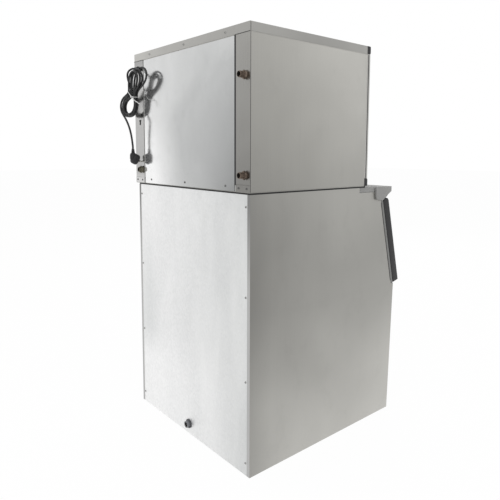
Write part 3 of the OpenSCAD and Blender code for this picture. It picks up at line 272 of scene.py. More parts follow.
def galvanised():
    """Zinc-coated sheet: small crystal spangle under a pale matt bloom, with a painted reflection: lighter towards +X,
    near white low down on that side, and a darker strip up the +X edge at mid height.
    """
    g = Graph("galvanised_sheet").set(Metallic=0.85)
    flake = g.flakes((150, 150, 110))
    wide = g.noise((6.5, 6.5, 1.8), 3, 0.5, 0.5)
    speck = g.noise((160, 160, 120), 3, 0.7)
    # painted reflection: lighter towards +X, near white low down on that side
    slow = g.span(g.axis(0), 0.0, 1.0, -0.36, 0.26)
    base = g.mix(slow, (0.665, 0.675, 0.672), (0.90, 0.90, 0.90))
    base = g.mix(g.math("MULTIPLY", slow, g.span(g.axis(2), 0.75, 0.0, 0.24, 0.40)), base, (0.97, 0.97, 0.97))
    # painted reflection: a darker strip up the +X edge at mid height
    painted_dark_band = g.math("MULTIPLY", g.span(g.axis(2), 0.0, 1.0, 0.22, 0.36), g.span(g.axis(2), 0.9, 0.0, 0.50, 0.84))
    base = g.mix(g.math("MULTIPLY", painted_dark_band, g.span(g.axis(0), 0.0, 1.0, 0.14, 0.31)), base, (0.75, 0.76, 0.757))
    base = g.mix(g.span(flake[0], 0.0, 0.20, 0.0, 1.0), base, (0.54, 0.55, 0.55))
    base = g.mix(g.span(speck, 0.0, 0.22, 0.6, 0.8), base, (0.48, 0.49, 0.49))
    base = g.mix(g.span(wide, 0.0, 0.42, 0.42, 0.75), base, (0.97, 0.97, 0.965))
    g.color(base)
    g.rough(g.math("ADD", g.span(flake[1], 0.38, 0.52, 0.0, 1.0), g.span(wide, -0.03, 0.03)))
    g.bump(flake[2], 0.04, 0.0003).bump(wide, 0.1, 0.004)
    return g.mat


M["galvanised"] = galvanised()


def plastic(name, col, rough=0.5, grain=900, spec=0.4, worn=1.25):
    """Moulded plastic with a fine spark-eroded grain and faint handling marks."""
    g = Graph(name).set(Specular_IOR_Level=spec)
    fine = g.noise((grain, grain, grain), 2, 0.6)
    wide = g.noise((7, 7, 7), 4, 0.6)
    base = g.ramp(wide, [(0.3, shade(col, 0.9)), (0.7, shade(col, 1.1))])
    base = g.mix(g.span(fine, 0.0, 0.3), base, shade(col, worn))
    g.color(base)
    g.rough(g.math("ADD", g.span(wide, rough - 0.06, rough + 0.08), g.span(fine, -0.03, 0.03)))
    g.bump(fine, 0.12, 0.0004)
    return g.mat


M["black"] = plastic("black_plastic", (0.022, 0.022, 0.023), 0.5, 800, 0.32, 1.5)
M["door"] = plastic("door_plastic", (0.019, 0.019, 0.020), 0.48, 700, 0.32, 1.4)
M["plug"] = plastic("plug_moulding", (0.016, 0.016, 0.017), 0.5, 700, 0.35, 1.4)
# painted shade: the near-black finish of the screws' cross recesses and of the dark patch in the slot
M["recess"] = plastic("screw_recess_painted_shade", (0.02, 0.02, 0.02), 0.6, 900, 0.3, 1.3)
# painted shade: the near-black wall inside the open bores of the water connections and the drain
M["bore"] = plastic("pipe_bore_painted_shade", (0.024, 0.021, 0.018), 0.7, 400, 0.3, 1.4)
M["grey"] = plastic("grey_plastic", (0.265, 0.264, 0.258), 0.5, 800)
M["frame"] = plastic("frame_plastic", (0.17, 0.17, 0.165), 0.5, 800)
M["drain"] = plastic("drain_plastic", (0.17, 0.175, 0.19), 0.38, 500, 0.5, 1.2)
M["drain_nut"] = plastic("drain_nut_plastic", (0.055, 0.056, 0.062), 0.42, 500, 0.5, 1.3)
M["white"] = plastic("white_plastic", (0.78, 0.79, 0.79), 0.38, 300, 0.45, 1.04)
M["red"] = plastic("red_plastic", (0.42, 0.02, 0.02), 0.3, 400, 0.5, 1.1)
M["orange"] = plastic("orange_plastic", (0.72, 0.28, 0.05), 0.6, 300)
M["foam"] = plastic("rigid_foam", (0.66, 0.66, 0.64), 0.85, 260, 0.2, 0.9)
M["rubber"] = plastic("black_rubber", (0.022, 0.022, 0.023), 0.62, 600, 0.3, 1.6)
M["hose"] = plastic("hose_rubber", (0.16, 0.16, 0.165), 0.55, 500, 0.35, 1.2)
M["cord"] = plastic("cord_sheath", (0.012, 0.012, 0.013), 0.46, 900, 0.42, 1.5)
M["enamel"] = plastic("black_enamel", (0.02, 0.02, 0.022), 0.28, 120, 0.5, 1.4)
M["grey_enamel"] = plastic("grey_enamel", (0.24, 0.26, 0.28), 0.35, 90, 0.5, 1.12)
M["tie"] = plastic("tie_wire", (0.70, 0.70, 0.69), 0.45, 500, 0.4, 1.05)


def edge_seal():
    """Joint strip round the back panel: pale along the +X post and black along the -X post, where the black is painted
    shade of the groove.
    """
    g = Graph("panel_seal").set(Roughness=0.6)
    fine = g.noise((600, 600, 600), 2, 0.6)
    dark = g.ramp(fine, [(0.3, (0.018, 0.018, 0.019)), (0.7, (0.035, 0.035, 0.036))])
    pale = g.ramp(fine, [(0.3, (0.40, 0.40, 0.39)), (0.7, (0.50, 0.50, 0.49))])
    # painted shade: black towards -X, pale towards +X
    g.color(g.mix(g.span(g.axis(0), 0.0, 1.0, 0.20, 0.24), dark, pale))
    return g.mat


M["seal"] = edge_seal()


def metal(name, col, rough, stain, amount, grain=240):
    """Plain metal with tarnish in blotches and a turned or cast grain."""
    g = Graph(name).set(Metallic=1.0)
    blot = g.noise((38, 38, 38), 5, 0.65, 0.4)
    fine = g.noise((grain, grain, grain), 3, 0.6)
    base = g.mix(g.span(blot, 0.0, amount, 0.4, 0.7), col, stain)
    base = g.mix(g.span(fine, 0.0, 0.2), base, shade(col, 1.25))
    g.color(base)
    g.rough(g.math("ADD", g.span(blot, rough - 0.05, rough + 0.12), g.span(fine, -0.04, 0.05)))
    g.bump(fine, 0.08, 0.0004)
    return g.mat


M["brass"] = metal("dull_brass", (0.215, 0.170, 0.138), 0.40, (0.07, 0.05, 0.038), 0.7)
M["brass_pale"] = metal("pale_brass", (0.235, 0.220, 0.170), 0.40, (0.085, 0.078, 0.055), 0.7)
M["copper"] = metal("drawn_copper", (0.72, 0.36, 0.22), 0.3, (0.30, 0.14, 0.08), 0.5)
M["zinc"] = metal("zinc_plate", (0.46, 0.46, 0.45), 0.36, (0.30, 0.30, 0.29), 0.4)
M["screw"] = metal("screw_steel", (0.19, 0.19, 0.186), 0.36, (0.09, 0.09, 0.087), 0.5, 500)
M["screw_pale"] = metal("screw_zinc", (0.42, 0.42, 0.41), 0.36, (0.26, 0.26, 0.25), 0.5, 500)
M["alu"] = metal("cast_aluminium", (0.55, 0.56, 0.57), 0.45, (0.40, 0.41, 0.42), 0.4, 160)
M["steel_dark"] = metal("turned_steel", (0.52, 0.53, 0.54), 0.28, (0.36, 0.37, 0.38), 0.3, 300)
M["pin"] = metal("plated_pins", (0.68, 0.66, 0.60), 0.25, (0.45, 0.43, 0.38), 0.3, 300)

use = {
    "side": ["side_panel_left", "side_panel_right"],
    "bin_side": ["bin_side_left", "bin_side_right"],
    "front": ["front_panel", "bin_front_panel"],
    "post": ["corner_post_left"],
    "post_far": ["corner_post_right"],
    "lid": ["top_lid"],
    "polished": ["back_panel"],
    "galvanised": ["bin_back_panel"],
    "tray": ["base_tray", "bin_base_plate", "tank_bracket"],
    "black": ["hinge_rail", "front_trims", "switch_housing", "cable_gland", "drain_spout"],
    "door": ["door_panel"],
    "grey": ["front_canopy"],
    "frame": ["door_frame"],
    "white": ["bin_liner", "door_inner_panel", "drain_strainer", "ice_chute", "water_tank"],
    "foam": ["front_header", "insulation_boards"],
    "rubber": ["door_seal", "head_gasket", "barrel_insulation", "compressor_feet", "cord_hank",
               "power_cord", "plug"],
    "seal": ["back_panel_seals"],
    "brass": ["water_inlet_fitting", "condenser_inlet_fitting", "condenser_outlet_fitting", "float_valve"],
    "zinc": ["hinge_pins"],
    "screw": ["bin_screws", "head_screws"],
    "red": ["switch_rocker"],
    "grey_enamel": ["gearbox", "drive_motor", "control_box"],
    "alu": ["seal_housing", "ice_head"],
    "steel_dark": ["evaporator_barrel", "auger_shaft", "auger_flight"],
    "orange": ["float_arm"],
    "enamel": ["compressor"],
    "copper": ["condenser_coil", "filter_drier", "refrigerant_lines"],
    "hose": ["water_lines"],
}
finish_of = {n: k for k, names in use.items() for n in names}
for name, obj in nodes.items():
    for s in obj.material_slots:
        s.material = M[finish_of[name]]


# ---- pieces: how they are made ----
def add(name, mesh, body="cabinet", mat=(), smooth=35, replaces=()):
    """Puts a mesh in the scene as a piece that rides on a body and may stand for CAD nodes."""
    o = bpy.data.objects.new(name, mesh)
    scene.collection.objects.link(o)
    for m in (mat,) if isinstance(mat, str) else mat:
        mesh.materials.append(M[m])
    if smooth:
        mesh.polygons.foreach_set("use_smooth", [True] * len(mesh.polygons))
        mesh.set_sharp_from_angle(angle=math.radians(smooth))
    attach(o, body)
    if replaces:
        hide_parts(*replaces)
    return o


def mesh_of(name, build):
    """Mesh filled by a function that draws into a bmesh."""
    bm = bmesh.new()
    build(bm)
    bmesh.ops.recalc_face_normals(bm, faces=bm.faces[:])
    me = bpy.data.meshes.new(name)
    bm.to_mesh(me)
    bm.free()
    return me


def circle(n):
    """Points of a unit circle."""
    return [(math.cos(2 * math.pi * k / n), math.sin(2 * math.pi * k / n)) for k in range(n)]


def skin(bm, rows, mat=0):
    """Quads between neighbouring rows, each a closed loop of the same number of points."""
    n = len(rows[0])
    for a, b in zip(rows, rows[1:]):
        for k in range(n):
            bm.faces.new((a[k], a[(k + 1) % n], b[(k + 1) % n], b[k])).material_index = mat


def cap(bm, rows, mat=0):
    """Closes the first and the last row."""
    bm.faces.new(rows[0][::-1]).material_index = mat
    bm.faces.new(rows[-1]).material_index = mat


def lathe(bm, profile, place, seg, mat=0):
    """Turns (distance along axis, radius) points about local Z and sets them by a matrix."""
    rings = []
    for h, r in profile:
        spots = circle(seg) if r else [(0, 0)]
        rings.append([bm.verts.new(place @ Vector((r * c, r * s, h))) for c, s in spots])
    for a, b in zip(rings, rings[1:]):
        for k in range(seg):
            j = (k + 1) % seg
            if len(a) == 1:
                corners = (a[0], b[j], b[k])
            elif len(b) == 1:
                corners = (a[k], a[j], b[0])
            else:
                corners = (a[k], a[j], b[j], b[k])
            bm.faces.new(corners).material_index = mat


def hexagon(bm, low, high, across, place):
    """Nut with its corners turned off at both ends."""
    n, r, chamfer = 48, across / 2, across * 0.08
    face = r * 0.98
    rim = r / math.cos(math.pi / 6)
    rows = []
    for h, most in ((low, face), (low + chamfer, rim), (high - chamfer, rim), (high, face)):
        row = []
        for k, (c, s) in enumerate(circle(n)):
            t = 2 * math.pi * k / n
            q = min(r / math.cos((t + math.pi / 6) % (math.pi / 3) - math.pi / 6), most)
            row.append(bm.verts.new(place @ Vector((q * c, q * s, h))))
        rows.append(row)
    skin(bm, rows)
    cap(bm, rows)


def ribs(h, radius, pitch, depth, steps):
    """Four ribs of a tapering sleeve as lathe points from h on; steps are the corners within one pitch."""
    out = []
    for i in range(4):
        crest = radius - 0.0005 * i
        valley = crest - depth
        out += [(h + step, r) for step, r in zip(steps, (valley, valley, crest, crest, valley))]
        h += pitch
    return out


def facing_back(x, y, z):
    """Local +Z points along +Y of the machine."""
    return Matrix.Translation((x, y, z)) @ Matrix.Rotation(math.radians(-90), 4, "X")


def sweep(bm, pts, radius, sides, mat=0, closed=False):
    """Round rod along a list of points; the radius is one value, or a list with one for each point."""
    rows, n, side = [], len(pts), None
    for i, p in enumerate(pts):
        a = pts[i - 1] if i or closed else pts[0]
        b = pts[(i + 1) % n] if i + 1 < n or closed else pts[-1]
        t = (b - a).normalized()
        if side is None:
            side = t.orthogonal().normalized()
        side = (side - t * side.dot(t)).normalized()
        other = t.cross(side)
        r = radius[i] if isinstance(radius, list) else radius
        rows.append([bm.verts.new(p + r * (side * c + other * s)) for c, s in circle(sides)])
    skin(bm, rows + rows[:1] if closed else rows, mat)
    if not closed:
        cap(bm, rows, mat)


# edges to round are sharper than SHARP, faces within FLAT are one, points within WELD are one,
# and an edge within ON_BOX of the node's box lies on it
SHARP = math.radians(25)
FLAT = math.radians(0.5)
WELD = 2e-6
ON_BOX = 2e-5


def rounded(node, width, body="cabinet", pick=None, segments=2):
    """Copy of a CAD solid with its sharp edges, or those picked, rounded; it stands for that solid."""
    bm = bmesh.new()
    bm.from_mesh(nodes[node].data)
    bmesh.ops.remove_doubles(bm, verts=bm.verts[:], dist=WELD)
    bmesh.ops.dissolve_limit(bm, angle_limit=FLAT, verts=bm.verts[:], edges=bm.edges[:])
    edges = [e for e in bm.edges if len(e.link_faces) == 2 and e.calc_face_angle(0) > SHARP
             and (pick is None or pick(e))]
    bmesh.ops.bevel(bm, geom=edges, offset=width, offset_type="OFFSET", segments=segments, profile=0.5,
                    affect="EDGES", clamp_overlap=True, loop_slide=True)
    me = bpy.data.meshes.new(node + "_skin")
    bm.to_mesh(me)
    bm.free()
    return add(node + "_skin", me, body, finish_of[node], 30, (node,))


def on_box_edge(node):
    """Picks the edges that lie on two outer sides of the node's box: the folded edges of a sheet."""
    lo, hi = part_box(node)

    def pick(e):
        a, b = (v.co for v in e.verts)
        mid, along = (a + b) / 2, (a - b).normalized()
        on = [i for i in range(3) if abs(along[i]) < 0.5
              and min(abs(mid[i] - lo[i]), abs(mid[i] - hi[i])) < ON_BOX]
        return len(on) == 2

    return pick


# ---- mains lead: from the gland into a tied hank, then down to its plug; points in millimetres ----
def spline(p, n):
    """Smooth line through points, with n steps from each to the next."""
    out = []
    for i in range(len(p) - 1):
        a, b, c, d = p[max(i - 1, 0)], p[i], p[i + 1], p[min(i + 2, len(p) - 1)]
        for k in range(n):
            t = k / n
            out.append(0.5 * (2 * b + (c - a) * t + (2 * a - 5 * b + 4 * c - d) * t * t
                              + (3 * b - a - 3 * c + d) * t * t * t))
    out.append(p[-1])
    return out


def even(p, step):
    """Points at equal distances along a line."""
    total = sum((b - a).length for a, b in zip(p, p[1:]))
    n = int(total / step)
    out, i, gone = [], 0, 0.0
    for k in range(n + 1):
        want = total * k / n
        while i < len(p) - 2 and gone + (p[i + 1] - p[i]).length < want:
            gone += (p[i + 1] - p[i]).length
            i += 1
        long = (p[i + 1] - p[i]).length
        out.append(p[i].lerp(p[i + 1], min(1.0, (want - gone) / long)))
    return out


# The lead-in and the tail are points (x, y, z). A loop of the hank is the line (x, z) of its outermost strand:
# the lower loop, the upper loop, and the first upper loop, which hangs wider than the others.
LEAD = [(345, 416, 1440), (345, 422, 1440), (345, 430, 1438.6), (345, 437.4, 1434.4), (345, 443.2, 1428),
        (345, 446.6, 1419.4), (345, 447.6, 1409), (345.6, 445.4, 1398), (346.6, 441.2, 1386), (348.2, 435.8, 1374.5),
        (350.6, 430, 1363.5), (354, 424.8, 1353.5), (359, 421.2, 1344.5)]
LOWER = [(358, 1337), (375, 1333), (394, 1328), (412.5, 1321.5), (429, 1311.5), (438.5, 1295), (438.5, 1276),
         (429, 1259.5), (412, 1249.5), (393, 1247), (373, 1247.5), (352.5, 1252), (334, 1262), (322, 1279),
         (318.5, 1298), (320, 1315)]
UPPER = [(313, 1344), (296, 1354), (278, 1366), (266, 1384), (264, 1405), (273, 1424), (291, 1435), (312, 1437),
         (332, 1430), (345, 1415), (350, 1396), (350.5, 1377), (349.5, 1360)]
LOOSE = [(312, 1343), (296, 1352), (277, 1361), (257, 1372), (243, 1387), (239, 1406), (247, 1424), (264, 1436),
         (285, 1442), (307, 1440), (326, 1431), (338, 1415), (342, 1396), (342, 1376), (341.7, 1357)]
TAIL = [(397, 453, 1274), (380, 455, 1258), (362, 453.5, 1243), (351, 448, 1222), (344, 441.5, 1195), (339, 437, 1165),
        (335.8, 435, 1138), (334.2, 434.2, 1124), (334, 434, 1113)]
# the first pass comes from the lead-in by these points of its own
START = [(376, 1336), (386, 1330)]
# from strand to strand, and Y of the layers of strands
GAP = 8.9
LAYERS = [430.6 + GAP * k for k in range(3)]
# where the tie holds the strands, the direction across them there, and the middles of the loops, as (x, z)
WAIST, ACROSS = Vector((337, 1337)), Vector((0.81, 0.585))
LOW_MID, UP_MID = Vector((372, 1288)), Vector((308, 1390))
# X of the whole hank, and the further (x, y) of the lower and the upper loop, eased between two heights
SHIFT = -20
NEAR = (Vector((16, -13)), Vector((6, -2)))
NEAR_Z = (1300, 1365)
# lean (x, z) of the upper loops, pass by pass, at one rise above the height where it sets in
FAN = [Vector(p) for p in ((-17, -7), (-7, -7), (-7, -6), (-4, -6), (-1, -6), (-1, -6))]
FAN_Z, FAN_RISE = 1348, 90
# the last pass leaves the lower loop for the tail by this (x, y) at each point
LEAVE = Vector((-6, 3))
# the line is cut at FINE, calmed in some rounds, and cut again at STEP
FINE, STEP, ROUNDS = 6, 7, 12


def inset(pts, d, mid):
    """The same line moved towards a middle by d."""
    out = []
    for i, p in enumerate(pts):
        t = Vector(pts[min(i + 1, len(pts) - 1)]) - Vector(pts[max(i - 1, 0)])
        n = Vector((-t.y, t.x)).normalized()
        q = Vector(p)
        out.append(q + n * (d if n.dot(mid - q) > 0 else -d))
    return out


def eased(u, a, b):
    """0 up to a, 1 from b on, and a soft step between."""
    t = min(1.0, max(0.0, (u - a) / (b - a)))
    return t * t * (3 - 2 * t)


def hank_route():
    """Four turns, outer and inner by turns, in two layers; a fifth pass leaves for the tail.
    Each inner upper loop crosses to the outside and to the next layer."""
    out = [Vector(p) for p in LEAD]
    low_in, up_in = inset(LOWER, GAP, LOW_MID), inset(UPPER, GAP, UP_MID)
    waist = [WAIST + ACROSS * GAP * k for k in (1.5, 0.5, -0.5, -1.5)]

    def put(t, p, y, v=0.0):
        lean = FAN[t].lerp(FAN[t + 1], v) * max(0.0, (p[1] - FAN_Z) / FAN_RISE)
        near = NEAR[0].lerp(NEAR[1], eased(p[1], *NEAR_Z))
        out.append(Vector((p[0] + SHIFT + lean.x + near.x, y + near.y, p[1] + lean.y)))

    for t in range(5):
        wide, y = t % 2 == 0, LAYERS[t // 2]
        if t:
            put(t, waist[0 if wide else 1], y)
        if t == 4:
            for k, p in enumerate(LOWER[:6]):
                put(t, (p[0] + LEAVE.x * k, p[1]), y + LEAVE.y * k)
            break
        for p in START + LOWER[3:] if t == 0 else LOWER if wide else low_in:
            put(t, p, y)
        put(t, waist[3 if wide else 2], y)
        if t == 0:
            for p in LOOSE:
                put(t, p, y)
            continue
        for k, (a, b) in enumerate(zip(UPPER, up_in)):
            u, a = k / (len(UPPER) - 1), Vector(a)
            if wide:
                put(t, a.lerp(b, eased(u, 0.1, 0.42)), y)
                continue
            w = eased(u, 0.0, 0.3) if t == 1 else eased(u, 0.45, 1.0)
            v = eased(u, 0.22, 0.5) if t == 1 else eased(u, 0.0, 0.25)
            put(t, b.lerp(a, w), y + (LAYERS[t // 2 + 1] - y) * v, v)
    pts = even(spline(out + [Vector(p) for p in TAIL], 4), FINE)
    for _ in range(ROUNDS):
        calm = [p.copy() for p in pts]
        for i in range(2, len(pts) - 3):
            q = pts[i] * 0.5 + (pts[i - 1] + pts[i + 1]) * 0.25
            calm[i] = Vector((q.x, (q.y + pts[i].y) / 2, q.z))
        pts = calm
    return even(pts, STEP)


route = [p / 1000 for p in hank_route()]
curve = bpy.data.curves.new("mains_lead", "CURVE")
curve.dimensions = "3D"
curve.bevel_depth = 0.004
curve.bevel_resolution = 3
curve.use_fill_caps = True
line = curve.splines.new("POLY")
line.points.add(len(route) - 1)
for pt, co in zip(line.points, route):
    pt.co = (*co, 1)
line.use_smooth = True
curve.materials.append(M["cord"])
lead = bpy.data.objects.new("mains_lead", curve)
scene.collection.objects.link(lead)
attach(lead, "cabinet")
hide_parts("power_cord", "cord_hank")

# middle of the plug, and how far its neck stands behind that
PLUG_AT = Vector((0.334, 0.427, 1.071))
NECK_BEHIND = Vector((0, 0.007, 0))


def build_plug(bm):
    """Plug with a domed back, grip bars, a ribbed neck and two sleeved pins; its face is tipped down."""
    r, half = 0.0215, 0.013
    body = Matrix.Translation(PLUG_AT) @ Matrix.Rotation(math.radians(25), 4, "X")
    place = body @ facing_back(0, -half, 0)
    lathe(bm, [(0.0012, 0), (0.0012, 0.0150), (0, 0.0160), (0, r - 0.0024), (0.0007, r - 0.0009), (0.0026, r),
               (0.0110, r), (0.0117, r - 0.0007), (0.0127, r - 0.0007), (0.0134, r), (0.0175, r - 0.0002),
               (0.0208, r - 0.0017), (0.0234, r - 0.0048), (0.0251, r - 0.0096), (0.0259, r - 0.0150), (0.026, 0)],
          place, 48)
    for k in range(9):
        t = math.radians(200 + 17.5 * k)
        x, y = math.cos(t) * (r - 0.0002), math.sin(t) * (r - 0.0002)
        at, end = (place @ Vector((x, y, h)) for h in (0.0045, 0.0098))
        sweep(bm, [at, at.lerp(end, 0.25), at.lerp(end, 0.75), end], [0.0003, 0.0008, 0.0008, 0.0003], 6)
    neck = [(0, 0), (0, 0.0130), (0.012, 0.0128), (0.018, 0.0122), (0.0225, 0.0104), (0.0242, 0.0082)]
    neck += ribs(0.0252, 0.0077, 0.0042, 0.0013, (0, 0.0008, 0.0013, 0.0032, 0.0037))
    neck += [(0.0418, 0.0043), (0.0418, 0)]
    lathe(bm, neck, Matrix.Translation(PLUG_AT + NECK_BEHIND), 32)
    for side in (-1, 1):
        at = body @ facing_back(side * 0.0095, -half - 0.017, 0)
        lathe(bm, [(0, 0), (0.0002, 0.0012), (0.0009, 0.0020), (0.002, 0.0024), (0.008, 0.0024)], at, 20, 1)
        lathe(bm, [(0.008, 0.0024), (0.008, 0.0021), (0.0182, 0.0021)], at, 20)


plug = add("mains_plug", mesh_of("mains_plug", build_plug), mat=("plug", "pin"),
           replaces=("plug",))


def build_gland(bm):
    """Gland with a hexagon and a ribbed tapering sleeve, where the lead starts."""
    x, _, z = LEAD[0]
    at = facing_back(x / 1000, HEAD_BACK, z / 1000)
    lathe(bm, [(0, 0), (0, 0.0112), (0.0010, 0.0112), (0.0010, 0)], at, 32)
    hexagon(bm, 0.0010, 0.0066, 0.0200, at)
    sleeve = [(0.0066, 0), (0.0066, 0.0086), (0.0080, 0.0084), (0.0088, 0.0074)]
    sleeve += ribs(0.0088, 0.0072, 0.0027, 0.0008, (0, 0.0007, 0.0010, 0.0021, 0.0024))
    lathe(bm, sleeve + [(0.0198, 0.0043), (0.0198, 0)], at, 32)


add("lead_gland", mesh_of("lead_gland", build_gland), mat="black", replaces=("cable_gland",))

# from the strands' middle lines out to that of the tie, X of the tie in the hank, and the points of the lead
# at either end that are not looked at for it
TIE_REACH = 0.0051
TIE_SHIFT = 13
ENDS = 14


def build_tie(bm):
    """Twist tie round the waist of the hank, with its two ends wound together."""
    mid = Vector((WAIST.x + SHIFT + TIE_SHIFT, 0, WAIST.y)) / 1000
    along, across = Vector((ACROSS.y, 0, -ACROSS.x)), Vector((ACROSS.x, 0, ACROSS.y))
    near = [p for p in route[ENDS:-ENDS]
            if abs((p - mid).dot(along)) < 0.006 and abs((p - mid).dot(across)) < 0.03]
    offsets = [(p - mid).dot(across) for p in near]
    a0, a1 = min(offsets) - TIE_REACH, max(offsets) + TIE_REACH
    y0, y1 = min(p.y for p in near) - TIE_REACH, max(p.y for p in near) + TIE_REACH
    ring = []
    for c, s in circle(44):
        a = (a0 + a1) / 2 + (a1 - a0) / 2 * math.copysign(abs(c) ** 0.5, c)
        y = (y0 + y1) / 2 + (y1 - y0) / 2 * math.copysign(abs(s) ** 0.5, s)
        ring.append(Vector((mid.x, y, mid.z)) + across * a)
    sweep(bm, ring, 0.0013, 8, closed=True)
    root = mid + across * (a0 + 0.009)
    root.y = y1 + 0.0004
    out = [(0, 0, 0), (-0.007, 0.002, -0.006), (-0.015, 0.001, -0.013), (-0.025, -0.003, -0.020),
           (-0.037, -0.009, -0.028), (-0.050, -0.015, -0.036)]
    core = spline([root + Vector(p) for p in out], 8)
    for side in (0, math.pi):
        twist = []
        for i, p in enumerate(core):
            t = side + i * 0.5
            twist.append(p + Vector((0.2 * math.cos(t), math.cos(t), math.sin(t))) * 0.0010)
        sweep(bm, twist, 0.0010, 6)


add("hank_tie", mesh_of("hank_tie", build_tie), mat="tie")

# ---- screws: dome as (height, radius), recess, and places in metres ----
DOME = ((0, 0.0040), (0.0004, 0.0040), (0.0012, 0.0037), (0.0018, 0.0031), (0.00205, 0.0027))
CROSS_TOP, CROSS_DEEP, CROSS_ARM, CROSS_HALF = 0.00215, 0.0013, 0.0024, 0.00055
BIN_SCREW_X, BIN_SCREW_Z = 0.350, (0.0443, 0.3316, 0.6227, 0.9235)
PANEL_SCREW_X, PANEL_SCREW_Z, LID_SCREW_Z = (-0.251, 0.0, 0.251), 0.988, 1.488
FOOT_SCREW_X, FOOT_SCREW_Z = (0.365, 0.324), 0.984


def rim_of(bm, row):
    """Edges round a closed row of points."""
    return [bm.edges.get((a, b)) for a, b in zip(row, row[1:] + row[:1])]


def build_screw(bm, at):
    """Domed head with a cross recess."""
    rows = [[bm.verts.new(at @ Vector((r * c, r * s, h))) for c, s in circle(24)] for h, r in DOME]
    skin(bm, rows)
    cross = []
    quarter = [(CROSS_ARM, CROSS_HALF), (CROSS_HALF, CROSS_HALF), (CROSS_HALF, CROSS_ARM)]
    for _ in range(4):
        cross += quarter
        quarter = [(-y, x) for x, y in quarter]
    top = [bm.verts.new(at @ Vector((x, y, CROSS_TOP))) for x, y in cross]
    low = [bm.verts.new(at @ Vector((x * 0.8, y * 0.8, CROSS_TOP - CROSS_DEEP))) for x, y in cross]
    skin(bm, [top, low], 1)
    bm.faces.new(low).material_index = 1
    bmesh.ops.triangle_fill(bm, use_beauty=True, edges=rim_of(bm, rows[-1]) + rim_of(bm, top))
    bm.faces.new(rows[0][::-1])


def build_screws(places):
    """Screws at places (x, y, z, turn of the recess)."""
    def build(bm):
        for x, y, z, turn in places:
            build_screw(bm, facing_back(x, y, z) @ Matrix.Rotation(turn, 4, "Z"))
    return build


def any_turn():
    """Each screw is driven home at a turn of its own."""
    return random.uniform(0, 1.5)


random.seed(4)
bin_places = [(sx * BIN_SCREW_X, BIN_BACK, z, any_turn()) for z in BIN_SCREW_Z for sx in (-1, 1)]
panel_places = [(x, HEAD_BACK, PANEL_SCREW_Z, any_turn()) for x in PANEL_SCREW_X]
lid_places = [(x, HEAD_BACK, LID_SCREW_Z, any_turn()) for x in PANEL_SCREW_X]
foot_places = [(sx * x, POST_BACK, FOOT_SCREW_Z, any_turn()) for sx in (-1, 1) for x in FOOT_SCREW_X]
# the cross recesses are painted shade: near black in the bin and head screws, the darker steel in the lid screws
for nm, places, mats, stands_for in (
        ("bin_screw_heads", bin_places, ("screw_pale", "recess"), ("bin_screws",)),
        ("head_screw_heads", panel_places + foot_places, ("screw", "recess"), ("head_screws",)),
        ("lid_screw_heads", lid_places, ("screw_pale", "screw"), ())):
    add(nm, mesh_of(nm, build_screws(places)), mat=mats, replaces=stands_for)

# ---- water connections and drain ----
# one turn of the thread as (distance, radius)
THREAD = ((0, 0.0096), (0.00035, 0.0104), (0.0007, 0.0105), (0.00105, 0.0104), (0.0014, 0.0096))
THREAD_PITCH = 0.0016


def build_connection(node, reach):
    """Bulkhead connection: sealing washer, chamfered hexagon and a threaded spout with an open bore."""
    lo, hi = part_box(node)
    at = facing_back((lo.x + hi.x) / 2, HEAD_BACK, (lo.z + hi.z) / 2)

    def build(bm):
        lathe(bm, [(0, 0.0087), (0, 0.0127), (0.0002, 0.0130), (0.0012, 0.0130), (0.0014, 0.0127),
                   (0.0014, 0.0087)], at, 40, 1)
        hexagon(bm, 0.0014, 0.0106, 0.0258, at)
        spout = [(0.0106, 0.0103), (0.0112, 0.0098)]
        h = 0.0116
        while h < reach - 0.0014:
            spout += [(h + step, r) for step, r in THREAD]
            h += THREAD_PITCH
        spout += [(reach - 0.0008, 0.0098), (reach - 0.0002, 0.0094), (reach, 0.0090), (reach - 0.0001, 0.0086),
                  (reach - 0.0007, 0.0084)]
        lathe(bm, spout, at, 48)
        # the wall inside the bore is painted shade, near black
        lathe(bm, [(reach - 0.0007, 0.0084), (-0.0290, 0.0084), (-0.0300, 0.0086), (-0.0300, 0.0103),
                   (-0.0295, 0.0105), (0.0, 0.0105)], at, 48, 2)
    return build


for nm, reach, tint in (("water_inlet_fitting", 0.017, "brass_pale"), ("condenser_inlet_fitting", 0.029, "brass"),
                        ("condenser_outlet_fitting", 0.029, "brass")):
    add(nm + "_skin", mesh_of(nm + "_skin", build_connection(nm, reach)), mat=(tint, tint, "bore"),
        replaces=(nm,))


